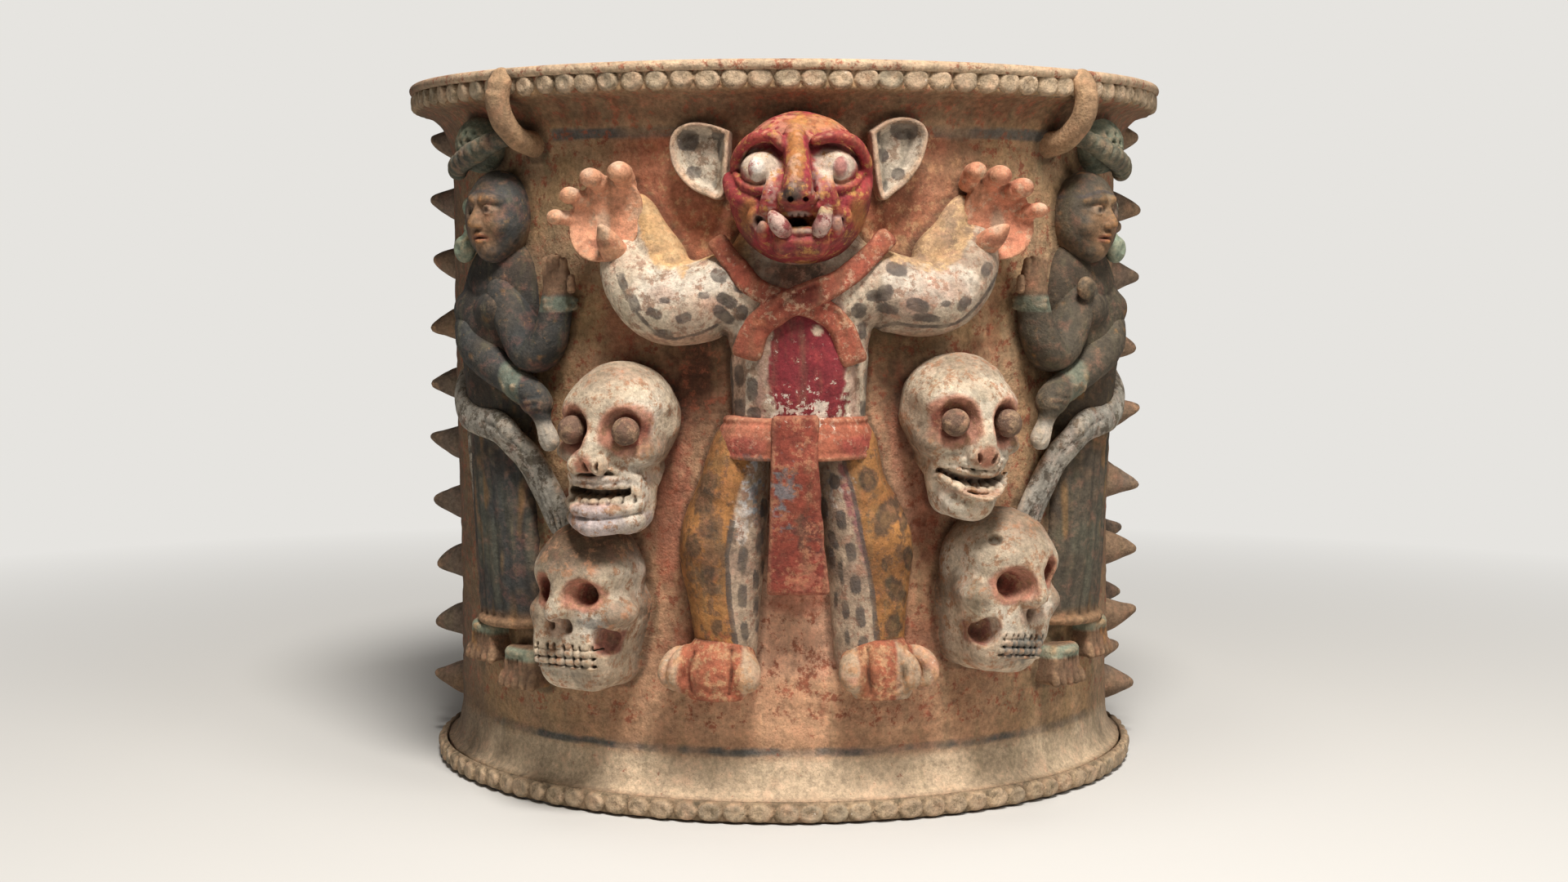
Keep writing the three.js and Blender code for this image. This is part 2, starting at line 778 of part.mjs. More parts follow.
// A foot under the robe, with a fringe on its instep
function foot(side, inner, grow) {
  const [offset, top] = inner ? [-4.8, 106] : [5, 120];
  return roll(
    figure,
    [
      [beside(side, offset), 4, top, 17, 14],
      [beside(side, offset - 0.4), 4, top - 28, 20, 16],
    ],
    { grow, blunt: true, box: 3 },
  );
}

// Colours and finish of the slips on the clay
const FINISH = {
  clay: [0xb08a68, 0.88],
  cream: [0xcdbfa6, 0.86],
  red: [0x9a4a3a, 0.82],
  crimson: [0x8a3038, 0.8],
  ochre: [0xb07f4a, 0.85],
  dark: [0x4c423c, 0.85],
  green: [0x7d9079, 0.85],
};

const urn = new THREE.Group();
const laid = []; // what is on the vessel so far, each with its solid grown by the gap

// A group turned about the vessel's axis, to face its own way
function facing(angle) {
  const group = new THREE.Group();
  group.rotation.z = rad(angle);
  group.updateMatrixWorld(true);
  urn.add(group);
  return group;
}

const overlaps = (a, b) => {
  const one = a.boundingBox();
  const other = b.boundingBox();
  return [0, 1, 2].every((k) => one.min[k] < other.max[k] && other.min[k] < one.max[k]);
};

// Hangs a solid in its group as a mesh about its own middle
function addMesh(group, name, made, finish) {
  const { vertProperties, triVerts } = made.getMesh();
  const geometry = new THREE.BufferGeometry();
  geometry.setAttribute("position", new THREE.BufferAttribute(vertProperties, 3));
  geometry.setIndex(new THREE.BufferAttribute(triVerts, 1));
  geometry.applyMatrix4(group.matrixWorld.clone().invert());
  geometry.computeBoundingBox();
  const middle = geometry.boundingBox.getCenter(new THREE.Vector3());
  geometry.translate(-middle.x, -middle.y, -middle.z);
  geometry.computeVertexNormals();
  const [color, roughness] = FINISH[finish];
  const mesh = new THREE.Mesh(geometry, new THREE.MeshStandardMaterial({ color, roughness, metalness: 0 }));
  mesh.name = name;
  mesh.position.copy(middle);
  group.add(mesh);
}

// A pressed strip is made to the flare's own radius, so it needs no trimming
function layStrip(name, make) {
  addMesh(vessel, name, make(0), "clay");
  laid.push(make(GAP));
}

// Lays a piece on the vessel: it is trimmed to the wall and to every earlier piece that it meets
function lay(group, name, finish, make) {
  const raw = make(0);
  const trims = [core, ...laid.filter((one) => overlaps(one, raw))];
  addMesh(group, name, whole(cut(raw, ...trims)), finish);
  laid.push(make(GAP));
}

const SIDES = [["left", -1], ["right", 1]];

const vessel = facing(0);
const core = wallCore();
addMesh(vessel, "vessel_foot", vesselFoot(), "clay");
addMesh(vessel, "vessel_wall", vesselWall(), "clay");
addMesh(vessel, "vessel_rim", vesselRim(), "clay");
addMesh(vessel, "vessel_floor", vesselFloor(), "clay");
layStrip("rim_strip", rimStrip);
layStrip("foot_strip", footStrip);
for (const [place, angle] of Object.entries(HANDLE_ANGLES))
  lay(facing(angle), `handle_${place}`, "clay", (grow) => handle(angle, grow));
for (const [place, row] of Object.entries(SPINE_ROWS))
  lay(facing(row.angle), `spine_row_${place}`, "clay", (grow) => spineRow(row, grow));

const feline = facing(0);
lay(feline, "feline_torso", "cream", felineTorso);
lay(feline, "feline_arm_left", "cream", armLeft);
lay(feline, "feline_arm_right", "cream", armRight);
lay(feline, "feline_hand_left", "red", (grow) => hand(HAND_LEFT, grow));
lay(feline, "feline_hand_right", "red", (grow) => hand(HAND_RIGHT, grow));
lay(feline, "feline_belt", "red", belt);
lay(feline, "feline_apron", "crimson", apron);
for (const [place, side] of SIDES) {
  lay(feline, `feline_leg_${place}`, "ochre", (grow) => leg(side, grow));
  lay(feline, `feline_paw_${place}`, "red", (grow) => paw(side, grow));
}
lay(feline, "feline_scarf", "red", (grow) => join(scarfLeft(grow), scarfRight(grow)));
lay(feline, "feline_head", "crimson", felineHead);
for (const [place, side] of SIDES) {
  lay(feline, `feline_ear_${place}`, "cream", (grow) => ear(side, grow));
  lay(feline, `feline_eye_${place}`, "cream", (grow) => felineEye(side, grow));
  lay(feline, `feline_tusk_${place}`, "cream", (grow) => tusk(side, grow));
}

for (const [place, drawn] of Object.entries(SKULLS)) {
  const facts = { ...drawn, angle: arc(drawn.angle), eyes: level(drawn.eyes) };
  const group = facing(facts.angle);
  lay(group, `skull_${place}`, "cream", (grow) => setSkull(facts, skull(facts, grow)));
  if (facts.staring)
    for (const [eye, side] of SIDES)
      lay(group, `skull_${place}_eye_${eye}`, "clay", (grow) => setSkull(facts, eyeball(facts, side, grow)));
}

for (const [place, side] of SIDES) {
  const man = facing(side * arc(BYSTANDER_ANGLE));
  lay(man, `man_${place}_torso`, "dark", (grow) => manTorso(side, grow));
  lay(man, `man_${place}_raised_arm`, "dark", (grow) =>
    side > 0 ? join(raisedArm(side, grow), chestBead(side, grow)) : raisedArm(side, grow),
  );
  lay(man, `man_${place}_lowered_arm`, "dark", (grow) => loweredArm(side, grow));
  lay(man, `man_${place}_head`, "dark", (grow) => manHead(side, grow));
  lay(man, `man_${place}_hat`, "green", (grow) => manHat(side, grow));
  lay(man, `man_${place}_ear_flare`, "green", (grow) => earFlare(side, grow));
  lay(man, `man_${place}_robe`, "dark", (grow) => robe(side, grow));
  lay(man, `man_${place}_sash`, "cream", (grow) => sash(side, grow));
  lay(man, `man_${place}_foot_inner`, "ochre", (grow) => foot(side, true, grow));
  lay(man, `man_${place}_foot_outer`, "ochre", (grow) => foot(side, false, grow));
}

export default urn;
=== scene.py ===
import math

import bpy
import numpy as np
import openvdb as vdb
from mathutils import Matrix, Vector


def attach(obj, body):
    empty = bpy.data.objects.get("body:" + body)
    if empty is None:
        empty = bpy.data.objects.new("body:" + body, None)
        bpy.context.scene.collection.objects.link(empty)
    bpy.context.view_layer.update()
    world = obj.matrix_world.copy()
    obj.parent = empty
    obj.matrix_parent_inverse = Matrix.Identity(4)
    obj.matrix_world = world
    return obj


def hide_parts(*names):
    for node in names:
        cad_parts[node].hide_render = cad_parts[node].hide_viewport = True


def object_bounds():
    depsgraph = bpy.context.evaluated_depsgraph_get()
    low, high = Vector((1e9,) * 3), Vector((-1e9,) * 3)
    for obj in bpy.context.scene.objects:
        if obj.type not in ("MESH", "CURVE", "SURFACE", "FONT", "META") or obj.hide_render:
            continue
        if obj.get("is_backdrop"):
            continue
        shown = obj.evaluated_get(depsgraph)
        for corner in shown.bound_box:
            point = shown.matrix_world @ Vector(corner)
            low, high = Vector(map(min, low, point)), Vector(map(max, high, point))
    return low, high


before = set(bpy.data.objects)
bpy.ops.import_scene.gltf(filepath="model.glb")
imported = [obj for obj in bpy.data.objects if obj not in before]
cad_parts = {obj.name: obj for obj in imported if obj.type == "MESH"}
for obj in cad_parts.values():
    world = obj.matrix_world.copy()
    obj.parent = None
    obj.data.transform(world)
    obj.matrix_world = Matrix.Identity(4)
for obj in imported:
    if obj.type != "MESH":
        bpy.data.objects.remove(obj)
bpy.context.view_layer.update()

# Sizes in millimetres, as in the CAD source
HEIGHT = 500.0
WALL = 247.0  # radius half way up
TAPER = 2.5
RIM_OUT = 26.0
FOOT_OUT = 12.0
LIP = 4.0
STRIP = 7.2
MM = 0.001
ARC = math.radians(1) * 250.0  # millimetres round the wall for each degree
BAND = 6.0  # how far from the clay's surface the fields are kept
FAR = 50.0
NO_MARK = 9.0
PRIMES = (73856093, 19349663, 83492791, 2654435761)
MODEL_SIDES = (-1, 1)
SIDE_NAMES = {-1: "left", 1: "right"}


def wall_radius(z):
    return WALL + TAPER * np.clip(2 * z / HEIGHT - 1, -1, 1)


def ramp(v, low, high):
    t = np.clip((v - low) / (high - low), 0, 1)
    return t * t * (3 - 2 * t)


def bell(v, width):
    return np.exp(-((v / width) ** 2))


def curve(stations, steps=5):
    """Points on a smooth curve through the stations."""
    s = np.array(stations, float)
    if len(s) < 3:
        t = np.linspace(0, 1, 3)[:, None]
        return s[0] + (s[-1] - s[0]) * t
    ends = np.vstack([2 * s[0] - s[1], s, 2 * s[-1] - s[-2]])
    out = []
    for p0, p1, p2, p3 in zip(ends[:-3], ends[1:-2], ends[2:-1], ends[3:]):
        for t in np.linspace(0, 1, steps, endpoint=False):
            out.append(0.5 * (2 * p1 + (p2 - p0) * t + (2 * p0 - 5 * p1 + 4 * p2 - p3) * t**2
                              + (3 * p1 - p0 - 3 * p2 + p3) * t**3))
    out.append(s[-1])
    return np.array(out)


def nearest(path, x, z):
    """The square of how far places are from a path of straight stretches."""
    best = np.inf
    for a, b in zip(path[:-1], path[1:]):
        d = b - a
        t = np.clip(((x - a[0]) * d[0] + (z - a[1]) * d[1]) / max(d @ d, 1e-9), 0, 1)
        best = np.minimum(best, (x - a[0] - t * d[0]) ** 2 + (z - a[1] - t * d[1]) ** 2)
    return best


def from_oval(parts, sizes):
    """About how far places are from an ellipse or an ellipsoid."""
    k0 = np.sqrt(sum((part / size) ** 2 for part, size in zip(parts, sizes)))
    k1 = np.sqrt(sum((part / size**2) ** 2 for part, size in zip(parts, sizes)))
    return k0 * (k0 - 1) / (k1 + 1e-6)


def lattice(axes, size, seed):
    """Smooth noise from about -1 to 1 on a grid, with lumps of a size."""
    shares = []
    for axis in axes:
        steps = (axis - axis[0]) / size
        low = np.floor(steps).astype(int)
        part = steps - low
        part = part * part * (3 - 2 * part)
        share = np.zeros((len(axis), low.max() + 2), np.float32)
        share[np.arange(len(axis)), low] = 1 - part
        share[np.arange(len(axis)), low + 1] = part
        shares.append(share)
    rng = np.random.default_rng(seed)
    knots = rng.uniform(-1, 1, [share.shape[1] for share in shares]).astype(np.float32)
    for k, share in enumerate(shares):
        knots = np.moveaxis(np.tensordot(share, knots, axes=(1, k)), 0, k)
    return knots


def noise(points, size, seed):
    """Smooth noise from about -1 to 1 at points, with lumps of a size."""
    q = np.asarray(points, float) / size
    cell = np.floor(q).astype(np.int64)
    part = q - cell
    part = part * part * (3 - 2 * part)
    total = np.zeros(len(q))
    for corner in range(8):
        step = np.array([(corner >> k) & 1 for k in range(3)])
        key = (cell + step) * PRIMES[:3]
        h = key[:, 0] ^ key[:, 1] ^ key[:, 2] ^ (seed * PRIMES[3])
        h = (h ^ (h >> 13)) * 1274126177 & 0xFFFFFFFF
        h = (h ^ (h >> 15)) & 0xFFFFFF
        weight = np.prod(np.where(step, part, 1 - part), axis=1)
        total += weight * (h / 0x7FFFFF - 1)
    return total


def blur(field, cells):
    """The field averaged over a few cells each way."""
    for axis in range(3):
        n = field.shape[axis]
        total = np.cumsum(np.moveaxis(field, axis, 0), axis=0, dtype=np.float64)
        low = np.clip(np.arange(n) - cells - 1, -1, n - 1)
        high = np.clip(np.arange(n) + cells, 0, n - 1)
        before = np.where((low >= 0)[:, None, None], total[np.maximum(low, 0)], 0)
        mean = (total[high] - before) / (high - low)[:, None, None]
        field = np.ascontiguousarray(np.moveaxis(mean, 0, axis), np.float32)
    return field


class Clay:
    """Clay worked in its own flat space: across, off the wall and up, in millimetres.

    With no angle the flat space is bent round the vessel. With one it is a flat plane that touches
    the wall there, and may be tipped in its own plane about a point.
    """

    def __init__(self, low, high, cell=1.2, angle=None, tip=(0, 0)):
        self.low = np.array(low, float)
        self.cell = cell
        self.angle = angle
        self.tip = tip
        counts = np.ceil((np.array(high, float) - self.low) / cell).astype(int) + 1
        self.axes = [(self.low[k] + cell * np.arange(counts[k])).astype(np.float32) for k in range(3)]
        self.field = np.full(counts, FAR, np.float32)

    def window(self, low, high):
        """The part of the field between two corners, and its places across, off the wall and up."""
        where = []
        for k in range(3):
            first = int(np.clip(math.floor((low[k] - self.low[k]) / self.cell), 0, len(self.axes[k])))
            last = int(np.clip(math.ceil((high[k] - self.low[k]) / self.cell) + 1, first, len(self.axes[k])))
            where.append(slice(first, last))
        x, h, z = (axis[part] for axis, part in zip(self.axes, where))
        return tuple(where), x[:, None, None], h[None, :, None], z[None, None, :]

    def merge(self, where, distance, soft, carve):
        """Adds clay within a distance field, or carves it away, with a soft join."""
        old = self.field[where]
        if old.size == 0:
            return
        if carve:
            near = np.maximum(soft - np.abs(old + distance), 0)
            self.field[where] = np.maximum(old, -distance) + near * near / (4 * soft)
        else:
            near = np.maximum(soft - np.abs(old - distance), 0)
            self.field[where] = np.minimum(old, distance) - near * near / (4 * soft)

    def slab(self, stations, edge=3.0, soft=3, box=True):
        """Clay between two levels: stations of across, height, up, half width and half depth."""
        s = np.array(sorted(stations, key=lambda one: one[2]), float)
        room = 9
        low = (s[:, 0] - s[:, 3]).min() - room, (s[:, 1] - s[:, 4]).min() - room, s[0, 2] - room
        high = (s[:, 0] + s[:, 3]).max() + room, (s[:, 1] + s[:, 4]).max() + room, s[-1, 2] + room
        where, x, h, z = self.window(low, high)
        level = z[0, 0]
        middle, off, wide, deep = (np.interp(level, s[:, 2], s[:, k])[None, None, :] for k in (0, 1, 3, 4))
        up = np.abs(z - (s[0, 2] + s[-1, 2]) / 2) - (s[-1, 2] - s[0, 2]) / 2 + edge
        if box:
            a, b = np.abs(x - middle) - wide + edge, np.abs(h - off) - deep + edge
            flat = np.hypot(np.maximum(a, 0), np.maximum(b, 0)) + np.minimum(np.maximum(a, b), 0)
        else:
            flat = from_oval((x - middle, h - off), (wide, deep)) + edge
        d = np.hypot(np.maximum(flat, 0), np.maximum(up, 0)) + np.minimum(np.maximum(flat, up), 0) - edge
        self.merge(where, d, soft, False)

    def ball(self, centre, sizes, soft=3, turn=0, carve=False):
        """An ellipsoid, turned clockwise in the plane of the wall."""
        centre, sizes = np.array(centre, float), np.array(sizes, float)
        reach = max(sizes) + soft + 2
        where, x, h, z = self.window(centre - reach, centre + reach)
        c, s = math.cos(math.radians(turn)), math.sin(math.radians(turn))
        dx, dz = x - centre[0], z - centre[2]
        parts = dx * c - dz * s, h - centre[1], dx * s + dz * c
        self.merge(where, from_oval(parts, sizes), soft, carve)

    def rope(self, stations, soft=3, steps=4, carve=False):
        """A roll laid along stations of across, height, up, half width and half depth."""
        points = curve(stations, steps)
        for a, b in zip(points[:-1], points[1:]):
            reach = max(a[3], a[4], b[3], b[4]) + soft + 2
            low = np.minimum(a[:3], b[:3]) - reach
            high = np.maximum(a[:3], b[:3]) + reach
            where, x, h, z = self.window(low, high)
            d = b[:3] - a[:3]
            t = (x - a[0]) * d[0] + (h - a[1]) * d[1] + (z - a[2]) * d[2]
            t = np.clip(t / max(d @ d, 1e-9), 0, 1)
            flat = (x - a[0] - t * d[0]) ** 2 + (z - a[2] - t * d[2]) ** 2
            off = (h - a[1] - t * d[1]) ** 2
            wide = a[3] + t * (b[3] - a[3])
            deep = a[4] + t * (b[4] - a[4])
            k0 = np.sqrt(flat / wide**2 + off / deep**2)
            k1 = np.sqrt(flat / wide**4 + off / deep**4)
            self.merge(where, k0 * (k0 - 1) / (k1 + 1e-6), soft, carve)

    def press(self, points, width, depth, steps=4, above=-99.0):
        """Presses a line into the face of the clay, or a point. A depth below 0 raises it."""
        points = np.array(points, float)
        path = curve(points, steps) if len(points) > 1 else np.vstack([points, points + 1e-3])
        reach = 3 * width
        low = (path[:, 0].min() - reach, above, path[:, 1].min() - reach)
        high = (path[:, 0].max() + reach, 999.0, path[:, 1].max() + reach)
        where, x, _, z = self.window(low, high)
        self.field[where] += (depth * np.exp(-nearest(path, x, z) / width**2)).astype(np.float32)

    def roughen(self, height, size, seed):
        self.field += height * lattice(self.axes, size, seed)

    def sample(self, local, field=None):
        """The field at points of the flat space."""
        field = self.field if field is None else field
        q = (np.asarray(local) - self.low) / self.cell
        top = np.array(field.shape) - 2
        base = np.clip(np.floor(q).astype(int), 0, top)
        part = np.clip(q - base, 0, 1)
        total = np.zeros(len(q))
        for corner in range(8):
            step = [(corner >> k) & 1 for k in range(3)]
            weight = np.ones(len(q))
            for k in range(3):
                weight = weight * (part[:, k] if step[k] else 1 - part[:, k])
            total += weight * field[base[:, 0] + step[0], base[:, 1] + step[1], base[:, 2] + step[2]]
        outside = (q < -0.5).any(axis=1) | (q > np.array(field.shape) - 0.5).any(axis=1)
        total[outside] = FAR
        return total

    def place(self, local):
        """Points of the flat space in the row frame, in millimetres."""
        x, h, z = local[:, 0], local[:, 1], local[:, 2]
        if self.angle is None:
            turn = x / ARC * math.radians(1)
            r = wall_radius(z) + h
            return np.column_stack([r * np.sin(turn), -r * np.cos(turn), z])
        tilt, about = math.radians(self.tip[0]), self.tip[1]
        u = x * math.cos(tilt) + (z - about) * math.sin(tilt)
        w = about - x * math.sin(tilt) + (z - about) * math.cos(tilt)
        a = math.radians(self.angle)
        r = WALL + h
        return np.column_stack([u * math.cos(a) + r * math.sin(a), u * math.sin(a) - r * math.cos(a), w])

    def local(self, world):
        """Points of the row frame, in millimetres, in the flat space."""
        x, y, z = world[:, 0], world[:, 1], world[:, 2]
        if self.angle is None:
            turn = np.degrees(np.arctan2(x, -y))
            return np.column_stack([turn * ARC, np.hypot(x, y) - wall_radius(z), z])
        a = math.radians(self.angle)
        u = x * math.cos(a) + y * math.sin(a)
        h = x * math.sin(a) - y * math.cos(a) - WALL
        tilt, about = math.radians(self.tip[0]), self.tip[1]
        lx = u * math.cos(tilt) - (z - about) * math.sin(tilt)
        lz = about + u * math.sin(tilt) + (z - about) * math.cos(tilt)
        return np.column_stack([lx, h, lz])

    def surface(self):
        """The clay's surface as points of the flat space and faces, without crumbs."""
        grid = vdb.FloatGrid(BAND)
        grid.copyFromArray(np.clip(self.field, -BAND, BAND))
        points, _, quads = grid.convertToPolygons(0.0, 0.0)
        faces = np.array(quads, np.int64).reshape(-1, 4)
        labels = np.arange(len(points))
        while True:
            best = labels[faces].min(axis=1)
            new = labels.copy()
            for k in range(4):
                np.minimum.at(new, faces[:, k], best)
            new = new[new]
            if (new == labels).all():
                break
            labels = new
        keep = np.bincount(labels).argmax()
        faces = faces[labels[faces[:, 0]] == keep]
        used, faces = np.unique(faces, return_inverse=True)
        return self.low + np.array(points, float)[used] * self.cell, faces.reshape(-1, 4)


# The photograph's camera, used for the view and to set paint where the photograph shows it
EYE_AZIMUTH = -2.2
EYE_PITCH = 4.49
EYE_DISTANCE = 1725.0
EYE_HEIGHT = 369.5
LENS = 51.75
SENSOR = 36.0
PIXELS = 1920 * LENS / SENSOR
UNIT = 1.93  # pixels of the photograph to a millimetre of the feline

_a, _p = math.radians(EYE_AZIMUTH), math.radians(EYE_PITCH)
EYE = np.array([EYE_DISTANCE * math.sin(_a), -EYE_DISTANCE * math.cos(_a), EYE_HEIGHT])
AHEAD = np.array([-math.sin(_a) * math.cos(_p), math.cos(_a) * math.cos(_p), -math.sin(_p)])
RIGHT = np.array([math.cos(_a), math.sin(_a), 0.0])
UP = np.cross(RIGHT, AHEAD)


def seen_from_front(world):
    """Where points of the row frame, in millimetres, lie in the photograph."""
    d = world - EYE
    depth = d @ AHEAD
    return 960 + PIXELS * (d @ RIGHT) / depth, 540 - PIXELS * (d @ UP) / depth


def linear(colour):
    """A colour written as in a picture, as the shader needs it. One that is ready stays as it is."""
    if not isinstance(colour, str):
        return colour
    v = np.array([int(colour[i : i + 2], 16) for i in (0, 2, 4)]) / 255
    return np.where(v <= 0.04045, v / 12.92, ((v + 0.055) / 1.055) ** 2.4)


BUFF = linear("ab8a69")
TAN = linear("8f7258")
BROWN = linear("6b5443")
UMBER = linear("443830")
CREAM = linear("c9b9a2")
PALE = linear("d6cab9")
BRICK = linear("96503f")
SALMON = linear("b8745c")
CRIMSON = linear("8c2c35")
PLUM = linear("63202a")
OCHRE = linear("b07c43")
CHARCOAL = linear("4a433f")
SLATE = linear("4e5557")
SAGE = linear("8a9682")
SOOT = linear("1d1917")
OLIVE = linear("6f6a4e")


class Coat:
    """The slips on a piece: a colour at each point, and how far each point is from a painted mark.

    Three noises break them up: fine, mid and broad. Places are the photograph's own, across and down.
    """

    def __init__(self, clay, points, colour):
        self.x, self.h, self.z = points.T
        self.world = clay.place(points)
        self.rgb = np.tile(linear(colour), (len(points), 1))
        self.mark = np.full(len(points), NO_MARK)
        self.fleck = np.zeros(len(points))
        self.under = np.tile(BUFF, (len(points), 1))
        self.wear = np.zeros(len(points))
        self.fine = noise(self.world, 2.6, 11)
        self.mid = noise(self.world, 9, 12) * 0.65 + 0.35 * noise(self.world, 4, 15)
        self.broad = noise(self.world, 34, 13) * 0.7 + 0.3 * noise(self.world, 15, 16)
        self.u, self.v = seen_from_front(self.world)
        self.unit = UNIT

    def on_piece(self, middle):
        """Counts places in millimetres across the piece and down from a level, not as seen from the front."""
        self.u, self.v, self.unit = self.x, middle - self.z, 1.0

    def blend(self, colour, amount):
        amount = np.clip(amount, 0, 1)[:, None]
        self.rgb = self.rgb * (1 - amount) + linear(colour) * amount

    def wash(self, colour, value, low, high, strength):
        """A slip that comes in as a value goes from low to high."""
        self.blend(colour, ramp(value, low, high) * strength)

    def rub(self, colour, amount):
        """What shows where the slip is rubbed through, and how much of it does."""
        self.under[:] = linear(colour)
        self.wear[:] = amount

    def patch(self, colour, u, v, wide, tall, strength=1.0, ragged=0.35, turn=0, soft=0.35):
        """A worn patch of slip where the photograph shows it."""
        c, s = math.cos(math.radians(turn)), math.sin(math.radians(turn))
        du, dv = self.u - u, self.v - v
        d = np.hypot((du * c + dv * s) / wide, (dv * c - du * s) / tall)
        d = d + ragged * (0.6 * self.mid + 0.4 * self.fine)
        self.blend(colour, strength * ramp(-d, -1 - soft, -1 + soft))

    def scuff(self, colour, u, v, wide, tall, strength=1.0):
        """A patch of slip that is left only in flecks."""
        d = np.hypot((self.u - u) / wide, (self.v - v) / tall)
        left = self.fine + 0.7 * self.mid - 1.1 * d + 0.55
        self.blend(colour, strength * ramp(left, -0.1, 0.1))

    def spots(self, places):
        """Painted spots at (across, down, half width, half height, turn) in the photograph."""
        warp_u = self.u + self.unit * (1.0 * self.mid + 0.5 * self.fine)
        warp_v = self.v + self.unit * (0.5 * self.fine - 0.8 * self.mid)
        for u, v, wide, tall, turn in places:
            c, s = math.cos(math.radians(turn)), math.sin(math.radians(turn))
            du, dv = warp_u - u, warp_v - v
            p, q = np.abs(du * c + dv * s) / wide, np.abs(dv * c - du * s) / tall
            d = ((p**3 + q**3) ** (1 / 3) - 1) * min(wide, tall) / self.unit
            self.mark = np.minimum(self.mark, d)

    def line(self, points, width, colour=None, ragged=0.5):
        """A brushed line through places in the photograph: a mark, or a colour where one is given."""
        gap = np.sqrt(nearest(curve(points, 4), self.u, self.v))
        d = (gap - width) / self.unit + ragged * self.mid
        if colour is None:
            self.mark = np.minimum(self.mark, d)
        else:
            self.blend(colour, ramp(-d, -0.6, 0.6))


class Nodes:
    """The nodes of a material or of the world, added one after another."""

    def __init__(self, owner):
        owner.use_nodes = True
        self.tree = owner.node_tree
        self.tree.nodes.clear()

    def add(self, kind, inputs=(), **settings):
        node = self.tree.nodes.new("ShaderNode" + kind)
        for name, value in settings.items():
            setattr(node, name, value)
        for name, value in dict(inputs).items():
            socket = node.inputs[name]
            if isinstance(value, bpy.types.NodeSocket):
                self.tree.links.new(value, socket)
            else:
                socket.default_value = value
        return node

    def noise(self, where, scale, detail=3.0, rough=0.55):
        made = self.add("TexNoise", {"Vector": where, "Scale": scale, "Detail": detail, "Roughness": rough})
        return made.outputs[0]

    def math(self, operation, a, b, clamp=False):
        return self.add("Math", {0: a, 1: b}, operation=operation, use_clamp=clamp).outputs[0]

    def times(self, a, b):
        return self.math("MULTIPLY", a, b)

    def plus(self, a, b):
        return self.math("ADD", a, b)

    def minus(self, a, b):
        return self.math("SUBTRACT", a, b)

    def span(self, value, low, high, bottom=0.0, top=1.0):
        inputs = {"Value": value, "From Min": low, "From Max": high, "To Min": bottom, "To Max": top}
        return self.add("MapRange", inputs).outputs[0]

    def mix(self, amount, a, b, kind="MIX"):
        a, b = (v if isinstance(v, bpy.types.NodeSocket) else (*v, 1) for v in (a, b))
        return self.add("Mix", {0: amount, 6: a, 7: b}, data_type="RGBA", blend_type=kind).outputs[2]

    def attribute(self, name, output=2):
        return self.add("Attribute", attribute_name=name).outputs[output]


def slip_colours(n, where, mid, marked, bare):
    """The slips' colours, rubbed through, stained, marked, flecked and rubbed bare at the edges."""
    wear, fleck = n.attribute("wear"), n.attribute("fleck")
    limit = n.minus(0.66, n.times(wear, 0.3))
    through = n.span(n.minus(n.noise(where, 120, 10, 0.78), limit), -0.02, 0.03, 0.0, 0.9)
    colour = n.mix(n.times(through, n.span(wear, 0.0, 0.1)), n.attribute("paint", 0), n.attribute("under", 0))
    drawn_out = n.add("VectorMath", {0: where, 1: (1.0, 1.0, 0.16)}, operation="MULTIPLY").outputs[0]
    colour = n.mix(n.times(n.span(n.noise(drawn_out, 110, 4, 0.6), 0.52, 0.72), 0.3), colour, OLIVE)
    colour = n.mix(n.times(n.span(n.noise(where, 75, 6, 0.65), 0.52, 0.7), 0.22), colour, BRICK)
    colour = n.mix(marked, colour, CHARCOAL)
    limit = n.minus(0.76, n.times(fleck, 0.26))
    flecked = n.span(n.minus(n.noise(where, 170, 8, 0.72), limit), -0.004, 0.03, 0.0, 0.8)
    colour = n.mix(n.times(flecked, n.span(fleck, 0.02, 0.12)), colour, PALE)
    rubbed = n.math("MULTIPLY", n.attribute("edge"), n.times(n.span(mid, 0.3, 0.62), 0.4), clamp=True)
    return n.mix(rubbed, colour, bare)


